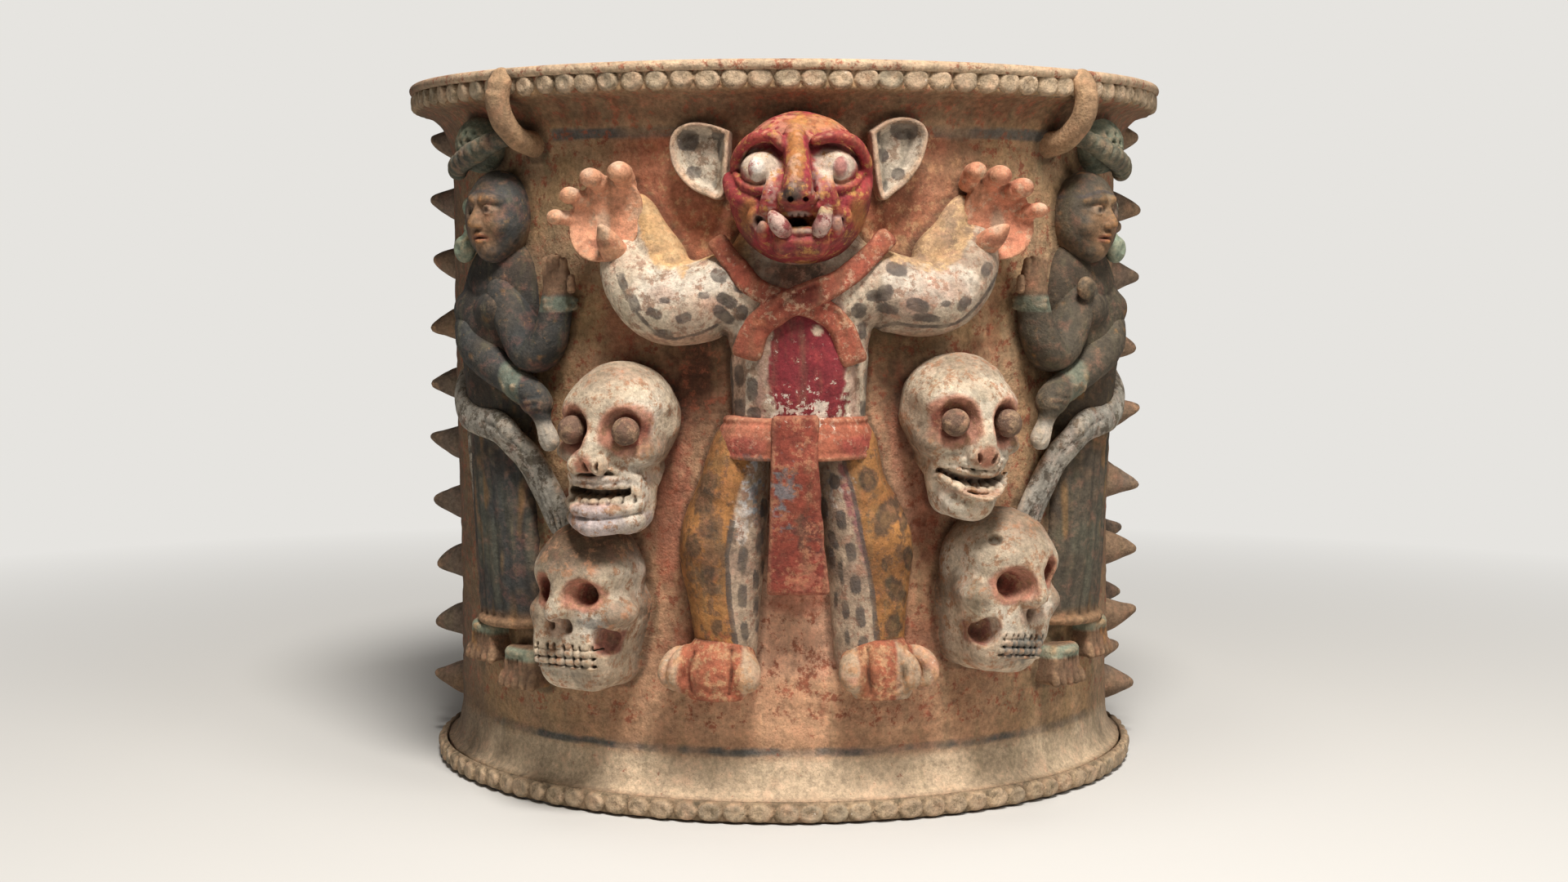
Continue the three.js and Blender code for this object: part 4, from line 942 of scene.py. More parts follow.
# The head: a rounded cap, arched brows, bulging eyes, and an open mouth between standing tusks
def head_paint(coat):
    u, v = coat.u, coat.v
    rub = coat.mid + 0.6 * coat.fine
    coat.rub("ad7d46", 0.33)
    coat.wash("94473a", coat.broad + 0.6 * rub, 0.0, 0.5, 0.5)
    coat.wash(OCHRE, coat.broad + 0.9 * rub, 0.6, 0.95, 0.6)
    coat.wash(PLUM, -coat.broad + 0.4 * rub, 0.2, 0.9, 0.6)
    coat.patch("a87238", 977, 190, 11, 42, 0.75, 0.9)
    coat.scuff("c78f70", 977, 156, 70, 20, 0.5)
    coat.scuff("c9a184", 972, 205, 8, 30, 0.5)
    coat.patch(OCHRE, 1000, 150, 40, 9, 0.5, 0.7)
    coat.patch(OCHRE, 916, 262, 10, 22, 0.55, 0.7)
    coat.patch(OCHRE, 1052, 262, 10, 24, 0.55, 0.7)
    coat.patch("5a4038", 916, 286, 8, 16, 0.55, 0.6)
    coat.patch("5a4038", 1040, 292, 9, 14, 0.5, 0.6)
    for cu, cv, turn in ((930, 203, 0), (1023, 202, 0)):
        coat.patch("ccbba6", cu, cv, 24, 20, 0.85, 0.3, turn, soft=0.2)
        coat.patch("b98a68", cu, cv + 21, 22, 5, 0.5, 0.5)
    for cu, turn in ((943, 25), (1007, -25)):
        coat.scuff("b59a8e", cu, 228, 14, 30, 0.5)
    coat.patch(CRIMSON, 938, 238, 5, 12, 0.5, 0.6, 20)
    coat.patch(CRIMSON, 1012, 232, 5, 12, 0.6, 0.6, -20)
    coat.line([(902, 196), (912, 178), (928, 168), (948, 172)], 4.2, "8a2c30")
    coat.line([(1060, 204), (1050, 184), (1034, 172), (1006, 172), (996, 178)], 4.2, "8a2c30")
    coat.line([(986, 168), (990, 195), (986, 220)], 3.0, "93353a")
    coat.line([(960, 165), (958, 185)], 2.0, "93353a")
    coat.patch("3d3735", 969, 238, 14, 9, 0.92, 0.3)
    coat.patch("4a4543", 976, 227, 13, 7, 0.6, 0.5)
    coat.patch("a58f80", 970, 227, 5, 4, 0.6, 0.5)
    coat.line([(936, 251), (955, 252), (971, 254), (990, 250), (1003, 245)], 2.6, "8a3436")
    coat.patch("c9b8aa", 976, 262, 16, 3.4, 0.7, 0.4)
    coat.patch(SOOT, 976, 273, 13, 7, 0.97, 0.06, soft=0.2)
    coat.patch("c9b3a5", 977, 283, 25, 3.4, 0.75, 0.35)
    for cu in (930, 1026):
        coat.patch("c3b0a3", cu, 273, 9, 12, 0.5, 0.7)
    coat.patch("8c3034", 977, 296, 31, 11, 0.9, 0.15)
    coat.patch(PLUM, 975, 308, 28, 6, 0.7, 0.4)
    coat.patch("c5ad98", 975, 325, 30, 3, 0.5, 0.6)
    coat.patch("9a3c3a", 905, 225, 10, 18, 0.7, 0.4)
    coat.patch("9a3c3a", 1055, 228, 12, 20, 0.7, 0.4)
    coat.fleck += 0.13 + 0.4 * bell(u - 943, 18) * bell(v - 232, 26) + 0.4 * bell(u - 1007,
                                                                                  18) * bell(v - 232, 26)
    coat.fleck += 0.3 * bell(u - 977, 60) * bell(v - 300, 30)


head = Clay((-54, 0, 362), (54, 96, 474), 1.0, angle=0)
head.ball((0, 22, 417), (46, 41, 50), 4)
head.ball((-1, 38, 412), (38, 26, 38), 10)
head.ball((-2, 46, 398), (32, 24, 22), 8)
head.rope([(-5, 54, 452, 6, 6), (-4, 64, 437, 6.6, 8), (-4, 72, 423, 7.2, 8.5), (-4, 78, 413, 8, 7.5)], 4)
head.ball((-4, 81, 412), (7.4, 5, 6), 2)
head.ball((-12, 74, 410.5), (4.6, 6, 4.4), 2)
head.ball((4, 74, 410.5), (4.6, 6, 4.4), 2)
# Brows, each a thin arched roll over its eye
head.rope([(-43, 40, 430, 2.4, 4), (-39, 47, 440, 3, 6), (-30, 55, 448, 3.2, 7), (-19, 60, 449, 3, 6),
           (-13, 62, 443, 2.6, 5)], 3)
head.rope([(42, 40, 426, 2.4, 4), (40, 46, 436, 3, 6), (32, 55, 446, 3.2, 7), (19, 60, 449, 3, 6),
           (7, 62, 446, 2.6, 5)], 3)
for side, ex, ez in ((-1, -26, 429), (1, 21.5, 430)):
    head.ball((ex, 70, ez), (14.5, 12, 12), 3, side * 10, carve=True)
    head.ball((ex - side * 1, 53.5, ez), (14.2, 12.4, 11.6), 2, side * 10)
    head.rope([(ex + side * 16, 44, ez - 3, 1.8, 4), (ex + side * 11, 54, ez - 10.5, 2.4, 4.6),
               (ex, 60, ez - 13.6, 2.4, 4.6), (ex - side * 11, 62, ez - 11, 2, 4)], 2)
    head.rope([(ex + side * 19, 36, ez - 6, 5, 6), (ex + side * 14, 48, ez - 17, 6, 6),
               (ex + side * 4, 56, ez - 21, 5, 5)],
              3)
# Whisker pads like petals, from the eyes' inner corners down beside the nose
for side, px in ((-1, -16.5), (1, 12.5)):
    for k in (-1, 0, 1):
        head.rope([(px + 2.6 * k, 62, 427, 1.8, 3), (px + side * 1.5 + 3.6 * k, 67, 416, 2.8, 4.4),
                   (px + side * 4 + 4.4 * k, 65.5, 404, 3, 4.4), (px + side * 6 + 4.6 * k, 61, 397, 2, 3)],
                  1.4)
    cx, cz = px + side * 10.5, 397
    turn = np.radians(np.arange(0, 300, 40))
    head.rope([(cx + side * 5.4 * math.cos(a), 57 + 1.5 * math.sin(a), cz + 6.4 * math.sin(a), 2.7,
                5) for a in turn], 1.2)
    head.ball((cx, 61, cz), (2.4, 6, 3.0), 1, carve=True)
head.rope([(-22, 58, 401, 2.4, 5), (-14, 68, 404.5, 2.6, 5), (-4, 74, 405, 2.8, 5), (7, 68, 405, 2.6, 5),
           (15, 60, 402, 2.4, 5)], 1.6)
# The mouth, cut in above a square chin
head.slab([(-1, 57, 389, 17.4, 17), (-1, 57, 383, 17.6, 18.4), (-1, 55, 374, 16, 16)], 5, 3)
head.ball((-1.5, 78, 395), (15.5, 24, 7), 1.5, carve=True)
head.ball((-1.5, 80, 393.8), (8.2, 32, 4.4), 1, carve=True)
for k in range(5):
    head.slab([(-9.2 + 4.2 * k, 63, 404, 1.8, 6), (-9.2 + 4.2 * k, 63, 398.4, 1.6, 5)], 1.2, 0.6)
head.rope([(-17, 66, 389.4, 2.2, 3), (-1, 73, 390, 2.4, 3), (15, 66, 389.4, 2.2, 3)], 1.5)
for side, x, z in ((-1, -24, 389), (1, 19.5, 392)):
    head.rope([(x, 52, z - 5, 4, 5), (x + side * 1, 61, z, 4, 4.4), (x + side * 1.5, 66, z + 5, 2.6, 2.6)], 1)
for x in (-8.6, 0.8):
    head.ball((x, 83, 409.4), (2.2, 6, 1.9), 1, carve=True)
ring = [(-4.2 + 2.6 * math.cos(a), 376.5 + 2.6 * math.sin(a)) for a in np.linspace(0, 2 * math.pi, 9)]
head.press(ring, 0.8, 1.3, above=58)
head.press([(-15, 386.5), (-9, 384.8), (-3, 386)], 0.7, 0.8, above=58)
fire("feline_head", head, "8a2e33", head_paint, GLOSSY_SLIP, seed=31, lumps=0.35)


def ear_paint(side):
    def paint(coat):
        inside = ramp(-coat.reach, 2.2, 4.0)
        coat.blend("b3826a", (1 - inside) * 0.45)
        coat.blend("8f5a48", (1 - inside) * ramp(coat.mid, 0.2, 0.8) * 0.5)
        coat.blend("b9ac9a", inside * 0.8)
        coat.rub("8a7460", 0.4)
        if side < 0:
            at = ((842, 172, 13, 13), (880, 163, 8, 8), (885, 185, 6, 14), (850, 211, 9, 8),
                  (872, 150, 12, 4))
        else:
            at = ((1108, 158, 17, 13), (1073, 168, 5, 9), (1080, 190, 8, 8), (1100, 213, 8, 8),
                  (1090, 142, 20, 4),
                  (1082, 228, 5, 6))
        coat.spots([(u, v, wide, tall, 0) for u, v, wide, tall in at])
        coat.mark = np.where(inside > 0.3, coat.mark, NO_MARK)
        coat.fleck += 0.25 * inside + 0.1

    return paint


EARS = {
    -1: [(-43, 455), (-55, 459.5), (-68, 460.5), (-77, 456), (-80.5, 446), (-78, 432), (-70, 421),
         (-59, 414), (-47, 414)],
    1: [(44, 455), (56, 463), (69, 464), (78, 459.5), (80.5, 450), (77, 437), (69.5, 425), (60, 416),
        (50, 413)],
}
for side in MODEL_SIDES:
    outline = EARS[side]
    clay = Clay((-86 if side < 0 else 34, -6, 404), (-34 if side < 0 else 86, 34, 474), 1.0)
    # a thin-walled cup: the clay inside the outline, hollowed towards the head
    where, x, h, z = clay.window((-200, -20, 300), (200, 60, 500))
    flat = inside_outline(curve(outline + outline[:1], 5)[:, :2], x[:, 0, 0], z[0, 0])
    deep = np.clip(-flat, 0, 16)
    toward = np.clip((np.abs(x) - 42) / 36, 0, 1)
    top = 18.5 - 3 * (1 - toward)
    floor = top - 11 * np.clip((deep[:, None, :] - 2.4) / 5.5, 0, 1) ** 0.9
    body_field = np.maximum(np.maximum(flat[:, None, :], (h - floor) * 0.72), -h - 3)
    clay.merge(where, body_field.astype(np.float32), 1.2, False)
    clay.field = blur(clay.field.clip(-BAND, BAND), 1)
    clay.reach_map = flat

    def paint(coat, clay=clay, side=side):
        gx = np.clip(((coat.x - clay.low[0]) / clay.cell).astype(int), 0, clay.reach_map.shape[0] - 1)
        gz = np.clip(((coat.z - clay.low[2]) / clay.cell).astype(int), 0, clay.reach_map.shape[1] - 1)
        coat.reach = clay.reach_map[gx, gz]
        ear_paint(side)(coat)

    fire(f"feline_ear_{SIDE_NAMES[side]}", clay, CREAM, paint, seed=37 + side, lumps=0.3)


def eye_paint(side):
    def paint(coat):
        coat.rub("9a4f4c", 0.3)
        if side < 0:
            coat.patch("8f3b3c", 917, 206, 5, 13, 0.75, 0.35)
            coat.patch("cfc8bf", 926, 203, 8, 10, 0.8, 0.3)
        else:
            coat.patch("8c3338", 1029, 203, 9, 13, 0.75, 0.45)
            coat.patch("cbb3ab", 1015, 200, 7, 8, 0.6, 0.4)
        coat.fleck += 0.3

    return paint


for side, ex, ez in ((-1, -28, 428.5), (1, 23, 429.5)):
    clay = Clay((ex - 15, 38, ez - 15), (ex + 15, 74, ez + 15), 0.9, angle=0)
    clay.ball((ex, 58, ez), (7.6, 9.6, 8.6), 1)
    clay.press([(ex - 6, ez - 5.5), (ex - 7.6, ez), (ex - 6, ez + 5.5)], 0.9, 0.4)
    fire(f"feline_eye_{SIDE_NAMES[side]}", clay, "c6b8a8", eye_paint(side),
         GLOSSY_SLIP, seed=41 + side, luted=False, lumps=0.2)


def tusk_paint(side):
    def paint(coat):
        coat.rub("7c3034", 0.5)
        coat.wash("8e4240", coat.mid + 0.5 * coat.broad, -0.3, 0.4, 0.6)
        if side > 0:
            coat.wash("b39a78", coat.z, 399, 402, 0.95)
        coat.fleck += 0.45

    return paint


for side, stations in (
    (-1, [(-10.5, 68, 389, 3.8, 4), (-13.5, 75, 391.5, 5.2, 5.6), (-17, 77, 395.5, 4.8, 5),
          (-20, 76, 400.5, 2.2, 2.8)]),
    (1, [(8, 68, 388.5, 3.8, 4), (10.5, 75, 392, 5, 5.6), (12.5, 77, 397, 4.6, 5),
         (13.6, 77, 402.5, 4, 4.2)]),
):
    ex = stations[1][0]
    clay = Clay((ex - 14, 56, 378), (ex + 14, 90, 414), 0.75, angle=0)
    clay.rope(stations, 1.5)
    if side > 0:
        clay.ball((14.5, 80, 408.6), (7, 9, 4.6), 0.6, 20, carve=True)
    fire(f"feline_tusk_{SIDE_NAMES[side]}", clay, "b89a8e", tusk_paint(side), GLOSSY_SLIP,
         seed=43 + side, luted=False, lumps=0.25)


# Skulls, each in a flat plane of its own, in millimetres from the middle of its eyes
SKULLS = {
    "upper_left": (-25.2, 263, 0, 69, 27, True),
    "upper_right": (22.5, 268, 3, 63, 23, True),
    "lower_left": (-29.8, 157, 0, 69, 28, False),
    "lower_right": (29.4, 165, 7, 66, 27, False),
}


# how far the jaw, and the nose and teeth, stand off the middle of each skull
LEAN = {"upper_left": -5, "upper_right": 5, "lower_left": -6, "lower_right": 2}
FACE = {"upper_left": -6, "upper_right": 0, "lower_left": -9, "lower_right": 9}
# the lower skulls' eye sockets (across, up, half width, half height), nostrils and cheek holes
SOCKETS = {
    "lower_left": ((-18.5, 0, 8.5, 11.5), (12.5, -2, 11.5, 11)),
    "lower_right": ((-11, -6, 13.5, 12.5), (18.5, 4, 8, 11)),
}
NOSTRILS = {"lower_left": ((-6, -22, 3.2, 6), (6, -23.5, 5, 7.8)), "lower_right": ((0, -23, 4, 8),)}
CHEEKS = {"lower_left": (22, -33), "lower_right": (-21, -38)}


def skull_paint(name, eyes, chin, jaw, staring):
    def paint(coat):
        coat.on_piece(eyes)
        coat.wash("9f8972", coat.broad, -0.3, 0.8, 0.7)
        coat.wash("d2c9bb", -coat.broad + 0.4 * coat.mid, 0.1, 0.9, 0.6)
        coat.rub("9d765a", 0.4)
        sockets = SOCKETS.get(name, ((-19.5, 0, 15, 16), (19.5, 0, 15, 16)))
        plain, front = coat.rgb.copy(), (ramp(coat.h, 40, 47) if staring else ramp(coat.h, 25, 30))[:, None]
        for sx, sz, wide, tall in sockets:
            coat.patch("ab6a54", sx, -sz, wide * 1.12, tall * 1.1, 0.8, 0.12, soft=0.12)
            coat.patch("74362b", sx, -sz, wide * 0.76, tall * 0.72, 0.8, 0.1, soft=0.15)
        if not staring:
            cx, cz = CHEEKS[name]
            coat.patch("7c3f34", cx, -cz, 7.4, 10, 0.85, 0.15, soft=0.15)
        coat.rgb = plain * (1 - front) + coat.rgb * front
        lips, face = chin * 0.59, FACE[name]
        if staring:
            coat.patch("a8664f", face, 22, 6 if face else 9, 7, 0.8, 0.5)
            coat.patch("5b483a", LEAN[name] / 2, lips, jaw * 0.85, 3.0, 0.7, 0.2)
            coat.patch("a7735f", 0, lips + 8, jaw * 0.8, 2.4, 0.5, 0.5)
        if name == "upper_left":
            coat.patch("b9adb0", -2, lips + 18, 24, 11, 0.7, 0.4)
            coat.patch("c5b9b2", -2, lips - 8, 22, 4, 0.5, 0.5)
        if not staring:
            coat.patch("8a5648", face, 24, 10, 8, 0.4, 0.5)
            coat.patch(SLATE, face, lips + 8, 19, 9, 0.3 if name == "lower_left" else 0.75, 0.6)
            if name == "lower_left":
                coat.patch("565654", 15, 21, 12, 4, 0.6, 0.8)
                # painted shadow of the skull above, strong across the top of this one
                coat.wash("4a3729", -coat.v + 6 * coat.broad, 8, 26, 0.85)
            # painted shadow from the skull above, darker towards the top
            coat.wash("6e5642", -coat.v, 12, 36, 0.5)
        coat.patch("7c624c", 0, -38, 32, 8, 0.4, 0.7)
        for sx in (-1, 1):
            coat.patch("6f5946", sx * 32, 14, 7, 10, 0.6, 0.6)
        # painted shade on the sides low down, where the skull meets the wall
        coat.wash("5f4a39", -coat.h, -16, -2, 0.6)
        coat.fleck += 0.3

    return paint


def side_of(name):
    """Below 0 for what lies left of the middle."""
    return -1 if name.endswith("left") else 1


def make_skull(name, angle, eyes, tilt, chin, jaw, staring, seed):
    clay = Clay((-45, -7, eyes - 80), (45, 76, eyes + 48), 1.0, angle=angle, tip=(tilt, eyes))
    lips = eyes - chin * 0.59
    lean, nx = LEAN[name], FACE[name]
    crown = -3 if name == "lower_left" else 0
    clay.ball((crown, 22, eyes + 6), (36.5 + crown, 40, 37), 3)
    clay.ball((crown, 28, eyes + 12), (31, 33, 27), 8)
    if staring:
        # the jaw stands clear of the wall, on a narrower neck
        clay.slab([(lean * 0.4, 20, eyes - 2, 27.5, 34), (lean * 0.6, 22, eyes - 24, 21.5, 34),
                   (lean * 0.4, 34, lips, jaw, 20),
                   (lean * 0.4, 32, eyes - chin, jaw - 4, 15)], 11, 6)
        clay.slab([(lean, 8, eyes - 20, 21, 22), (lean * 1.4, 10, lips, jaw - 9, 26),
                   (lean * 1.4, 10, eyes - chin + 3, jaw - 12, 22)], 8, 6)
    else:
        clay.slab([(0, 20, eyes - 2, 31, 34), (lean * 0.5, 20, eyes - 24, 31, 34),
                   (lean, 18, lips, jaw + 1, 36),
                   (lean, 15, eyes - chin, jaw - 4, 31)], 12, 6)
    clay.ball((0, 42, eyes + 12), (30, 17, 11), 10)
    for s in (-1, 1):
        # cheekbones, and the hollow of the temple
        clay.ball((s * (29 if s * lean > 0 or not staring else 25), 38, eyes - 15), (9, 15, 8), 8)
        clay.ball((s * 41, 34, eyes + 2), (7, 14, 10), 7, carve=True)
        if staring:
            clay.ball((s * 37, 38, eyes - 31), (8, 14, 9), 7, carve=True)
    clay.rope([(0, 52, eyes + 12, 5, 6), (nx * 0.3, 56, eyes - 4, 4.4, 7), (nx * 0.8, 60, eyes - 14, 5, 7)],
              8)
    if staring:
        for s in (-1, 1):
            clay.ball((s * 19.5, 66, eyes), (14.8, 18, 16), 1.8, carve=True)
        # the nose, two pinched nubs with a slit in each
        wide = 12.5 if nx else 10
        clay.ball((nx, 60, eyes - 20), (wide, 9, 8.4), 5)
        for s in (-1, 1):
            clay.ball((nx + s * (wide - 4), 63, eyes - 22.5), (5, 7, 6), 3)
            clay.ball((nx + (s * 5.6 if not nx else 5 + s * 4.5), 70, eyes - 23), (1.5, 8, 3.8), 0.8,
                      s * 14, carve=True)
        smile = 5 if "right" in name else 1
        mid, half = lean * 0.5, jaw * (0.88 if nx else 1.02)
        base = [(mid + half * k, h, lips + rise) for k, h, rise in (
            (-1, 43, smile), (-0.53, 55, 0), (0, 60, -smile * 0.3), (0.53, 55, 0), (1, 43, smile))]
        # upper lip and gums over the gap, then what lies below it
        clay.rope([(x * 1.06, h + 0.5, z + 9.5, 1.8, 4) for x, h, z in base], 2)
        clay.rope([(x, h - 2, z + 5, 3, 6) for x, h, z in base], 1.2)
        clay.rope([(x, h - 2, z - 5.4, 2.6, 6) for x, h, z in base], 1.2)
        for k, (drop, thick) in enumerate(((11.5, 4.0),
                                           (21, 6.0)) if name == "upper_left" else ((10.4, 2.2),)):
            clay.rope([(x * (1 - 0.08 * k), h + 2.6 - 2.0 * k, z - drop + (smile + 2) * (abs(x) / jaw) ** 2,
                        thick,
                        5.8 + 1.6 * k) for x, h, z in base], 1.2)
        if name == "upper_right":
            clay.ball((0, 46, lips - 18), (jaw * 0.72, 13, 10), 5)
        for s in (-1, 1):
            clay.rope([(mid + s * 12, 58, eyes - 25, 1.4, 3),
                       (mid + s * half * 0.95, 47, lips + smile + 8.5, 1.6, 4),
                       (mid + s * (half + 1.5), 36, lips + smile + 1, 1.6, 4),
                       (mid + s * half, 33, lips - 8, 1.4, 4)], 2)
        clay.rope([(x * 0.94, h + 2, z, 2.3, 15) for x, h, z in base], 0.8, carve=True)
        bold = 1.0 if nx else 0.7
        for k in range(-3, 4):
            x = mid + k * half * 0.29 + 0.8 * math.sin(3.1 * k)
            rise = smile * ((x - mid) / half) ** 2
            clay.press([(x, lips + 6 + rise), (x + 0.4, lips + 2.6 + rise)], 0.7, 1.4 * bold, above=36)
            clay.press([(x + 3, lips - 2.4 + rise), (x + 3, lips - 6.6 + rise)], 0.8, 2.4 * bold, above=36)
    else:
        for sx, sz, wide, tall in SOCKETS[name]:
            clay.ball((sx, 64, eyes + sz), (wide, 17, tall), 1.6, carve=True)
            clay.ball((sx, 54, eyes + sz), (wide * 0.6, 15, tall * 0.6), 3, carve=True)
        for sx, sz, wide, tall in NOSTRILS[name]:
            clay.ball((nx + sx, 64, eyes + sz), (wide, 18, tall), 1.0, 8 * side_of(name), carve=True)
        cx, cz = CHEEKS[name]
        clay.ball((cx, 50, eyes + cz), (7.4, 20, 10), 1.4, 8 * side_of(name), carve=True)
        bite, gape = lips - (4 if name == "lower_left" else 8), jaw * (0.86 if name == "lower_left" else 0.66)
        clay.slab([(nx * 0.7, 26, bite + 9, gape, 29), (nx * 0.7, 26, bite - 8, gape, 29)], 5, 3)
        for dz in (5.2, 0, -5.2):
            clay.press([(nx * 0.7 - gape * 0.95, bite + dz - 0.5), (nx * 0.7, bite + dz),
                        (nx * 0.7 + gape * 0.95, bite + dz + 0.6)], 0.8, 2.2, above=34)
        for k in range(-3, 4):
            x = nx * 0.7 + k * gape * 0.28 + 0.7 * math.sin(2.3 * k)
            clay.press([(x, bite + 6), (x + 0.5, bite)], 0.8, 2.2, above=34)
            clay.press([(x + 1.2, bite), (x + 1, bite - 5)], 0.8, 2.2, above=34)
            clay.ball((x, 58, bite + 7.5), (1.2, 12, 1.8), 0.6, carve=True)
    if name == "lower_right":
        clay.ball((-24, 50, eyes + 22), (5, 6, 3.4), 2, carve=True)
    clay.press([(-20, eyes + 26), (0, eyes + 29), (22, eyes + 25)], 6, 0.8, above=20)
    fire(f"skull_{name}", clay, "bfae97", skull_paint(name, eyes, chin, jaw, staring), seed=seed,
         lumps=0.8)
    if not staring:
        return

    def ball_paint(coat):
        coat.rub("957960", 0.45)
        coat.wash(UMBER, coat.mid, 0.0, 0.8, 0.4)
        coat.fleck += 0.3

    for s in (-1, 1):
        ball = Clay((s * 19.5 - 12, 44, eyes - 12), (s * 19.5 + 12, 72, eyes + 12), 0.75, angle=angle,
                    tip=(tilt, eyes))
        ball.ball((s * 19.5, 58.5, eyes - 0.5), (9.0, 9.0, 9.2), 1)
        fire(f"skull_{name}_eye_{SIDE_NAMES[s]}", ball, "6f5647", ball_paint, EARTH,
             seed=seed + s, luted=False, lumps=0.5)


for number, (name, facts) in enumerate(SKULLS.items()):
    make_skull(name, *facts, seed=50 + 5 * number)


# The two standing men: angles count outwards from the middle of each
def man(side):
    who = f"man_{SIDE_NAMES[side]}"
    dark = linear("524a3e") if side > 0 else linear("3c3c3a")

    def at(offset):
        return side * bent(52 + offset)

    def box(a, b, low, high, cell=1.3, lift=-8, top=56):
        xs = sorted((at(a), at(b)))
        return Clay((xs[0], lift, low), (xs[1], top, high), cell)

    def worn(coat, light=OCHRE, share=0.5):
        coat.wash("5b4b3a", coat.broad, -0.2, 0.8, 0.6)
        coat.blend(light, ramp(coat.mid + 0.3 * coat.broad, 0.45, 0.85) * share)
        coat.rub("6d5842", 0.2)
        coat.fleck += 0.1

    torso = box(-9, 12, 250, 392)
    torso.rope([(at(1), 4, 266, 30, 21), (at(1), 4, 300, 32, 24), (at(1), 4, 332, 37, 25),
                (at(0), 4, 356, 33, 19),
                (at(-0.6), 6, 371, 13, 15)])
    torso.press([(at(-5), 356), (at(0), 348), (at(5), 358)], 1.6, 1.2, above=6)
    torso.ball((at(-3), 26, 338), (12, 7, 11), 5)
    torso.ball((at(4), 25, 338), (12, 7, 11), 5)

    def torso_paint(coat):
        worn(coat)
        coat.wash("3b2c20", coat.broad, -1.0, 0.6, 0.5)

    fire(f"{who}_torso", torso, dark, torso_paint, seed=80 + side)

    arm = box(-18.6, 1, 284, 382)
    arm.rope([(at(-3), 12, 351, 12, 15), (at(-5.5), 15, 334, 12, 15), (at(-9.4), 14, 309, 12, 16),
              (at(-12.6), 14, 318, 10.5, 13), (at(-14), 14, 336, 8.6, 12), (at(-15), 16, 352, 8, 10)], 3)
    arm.rope([(at(-14.8), 16, 352, 9, 8), (at(-15.2), 18, 362, 9.6, 7)], 2)
    for k in range(4):
        x = at(-15.2) + side * (k - 1.5) * 4.6
        arm.rope([(x, 19, 360, 2.6, 4.4), (x, 20, 372 + 1.4 * (k in (1, 2)), 2.3, 3.8)], 0.8)
    arm.rope([(at(-15.2) - side * 11, 18, 352, 2.6, 4), (at(-15.2) - side * 12.5, 20, 361, 2.2, 3.4)], 1)
    for z in (341, 345.5):
        arm.rope([(at(-16.6), 9, z, 2.6, 5), (at(-14.6), 24, z, 2.6, 4), (at(-12.2), 10, z, 2.6, 5)], 1)
    if side > 0:
        arm.ball((at(-6), 28.5, 353), (8, 5, 8), 1.5)
        arm.press([(at(-6), 353)], 3, 1, above=20)

    def arm_paint(coat):
        worn(coat, OCHRE, 0.6)
        coat.blend(SAGE, ramp(-np.abs(coat.z - 343), -6, -4.5) * ramp(-np.abs(coat.x - at(-14.4)), -16,
                                                                      -12) * 0.4)
        coat.blend("8d6a50", ramp(coat.z, 347, 352) * ramp(-side * (coat.x - at(-11)), -2, 2) * 0.7)

    fire(f"{who}_raised_arm", arm, dark, arm_paint, seed=84 + side)

    low = box(-16.4, 8, 244, 342)
    low.rope([(at(4), 20, 326, 12.5, 12), (at(1), 24, 312, 12.5, 12), (at(-3.5), 24, 300, 11.5, 12),
              (at(-9.5), 20, 284, 9, 10.5), (at(-11.6), 20, 275, 9.5, 9.5)], 3)
    low.rope([(at(-11.6), 20, 274, 6, 7), (at(-12.4), 19, 262, 5, 5), (at(-13.2), 18, 251, 7.4, 6)], 2)
    for k in range(3):
        low.press([(at(-12) + (k - 1) * 3, 262), (at(-13.2) + (k - 1) * 4.5, 246)], 0.8, 0.9)
        low.press([(at(-13.2) + side * 2, 281 - 5 * k), (at(-10.5), 279 - 5 * k)], 1, 1.1, above=20)
    for dx in (-1.2, 1.2):
        low.rope([(at(-8.4) + dx * 3, 12, 290, 2.4, 4), (at(-8.2) + dx * 3, 31, 287, 2.4, 3.4),
                  (at(-7.4) + dx * 3, 16, 276, 2.4, 4)], 1)

    def low_paint(coat):
        worn(coat, OCHRE, 0.6)
        coat.blend(SAGE, ramp(-np.abs(coat.x - at(-8.2)), -8, -5) * 0.35)
        coat.wash(PALE, -coat.z, -266, -260, 0.6)

    fire(f"{who}_lowered_arm", low, dark, low_paint, seed=88 + side)

    # The head is drawn in its own plane, facing straight out of it
    head = Clay((-34, -6, 362), (34, 50, 440), 1.0, angle=side * 50.5)
    fx = -side * 6.2
    head.ball((0, 14, 402), (23.5, 23.5, 31.5), 3)
    head.ball((fx * 0.7, 20, 396), (19, 15, 24), 6)
    head.ball((fx, 25, 378.5), (9, 8.5, 7), 5)
    for s in (-1, 1):
        head.rope([(fx + s * 13, 26, 411.5, 2.2, 3), (fx + s * 8, 33.4, 413.6, 2.4, 3),
                   (fx + s * 3, 34, 412, 2, 3)], 3)
        head.ball((fx + s * 8.2, 37, 406), (5.4, 5, 3.8), 2, carve=True)
        head.ball((fx + s * 8.2, 30.6, 406), (4.4, 4, 3.1), 0.8)
        head.rope([(fx + s * 13, 28, 405.6, 1, 1.6), (fx + s * 8.2, 34, 408.6, 1.1, 1.8),
                   (fx + s * 3.4, 32, 405.4, 1, 1.6)],
                  0.8)
        head.rope([(fx + s * 13, 28, 405.6, 0.9, 1.5), (fx + s * 8.2, 33.4, 403.3, 0.9, 1.6),
                   (fx + s * 3.4, 32, 405.4, 0.9, 1.5)], 0.8)
        head.ball((fx + s * 11, 27, 395), (6.4, 6, 6.4), 4)
        head.ball((fx + s * 3.2, 37.6, 395.6), (2.4, 3, 2.5), 1.2)
    head.rope([(fx, 31.5, 411, 2.6, 4), (fx, 36, 402.5, 2.8, 4), (fx, 40, 396.5, 3.2, 3.6)], 2)
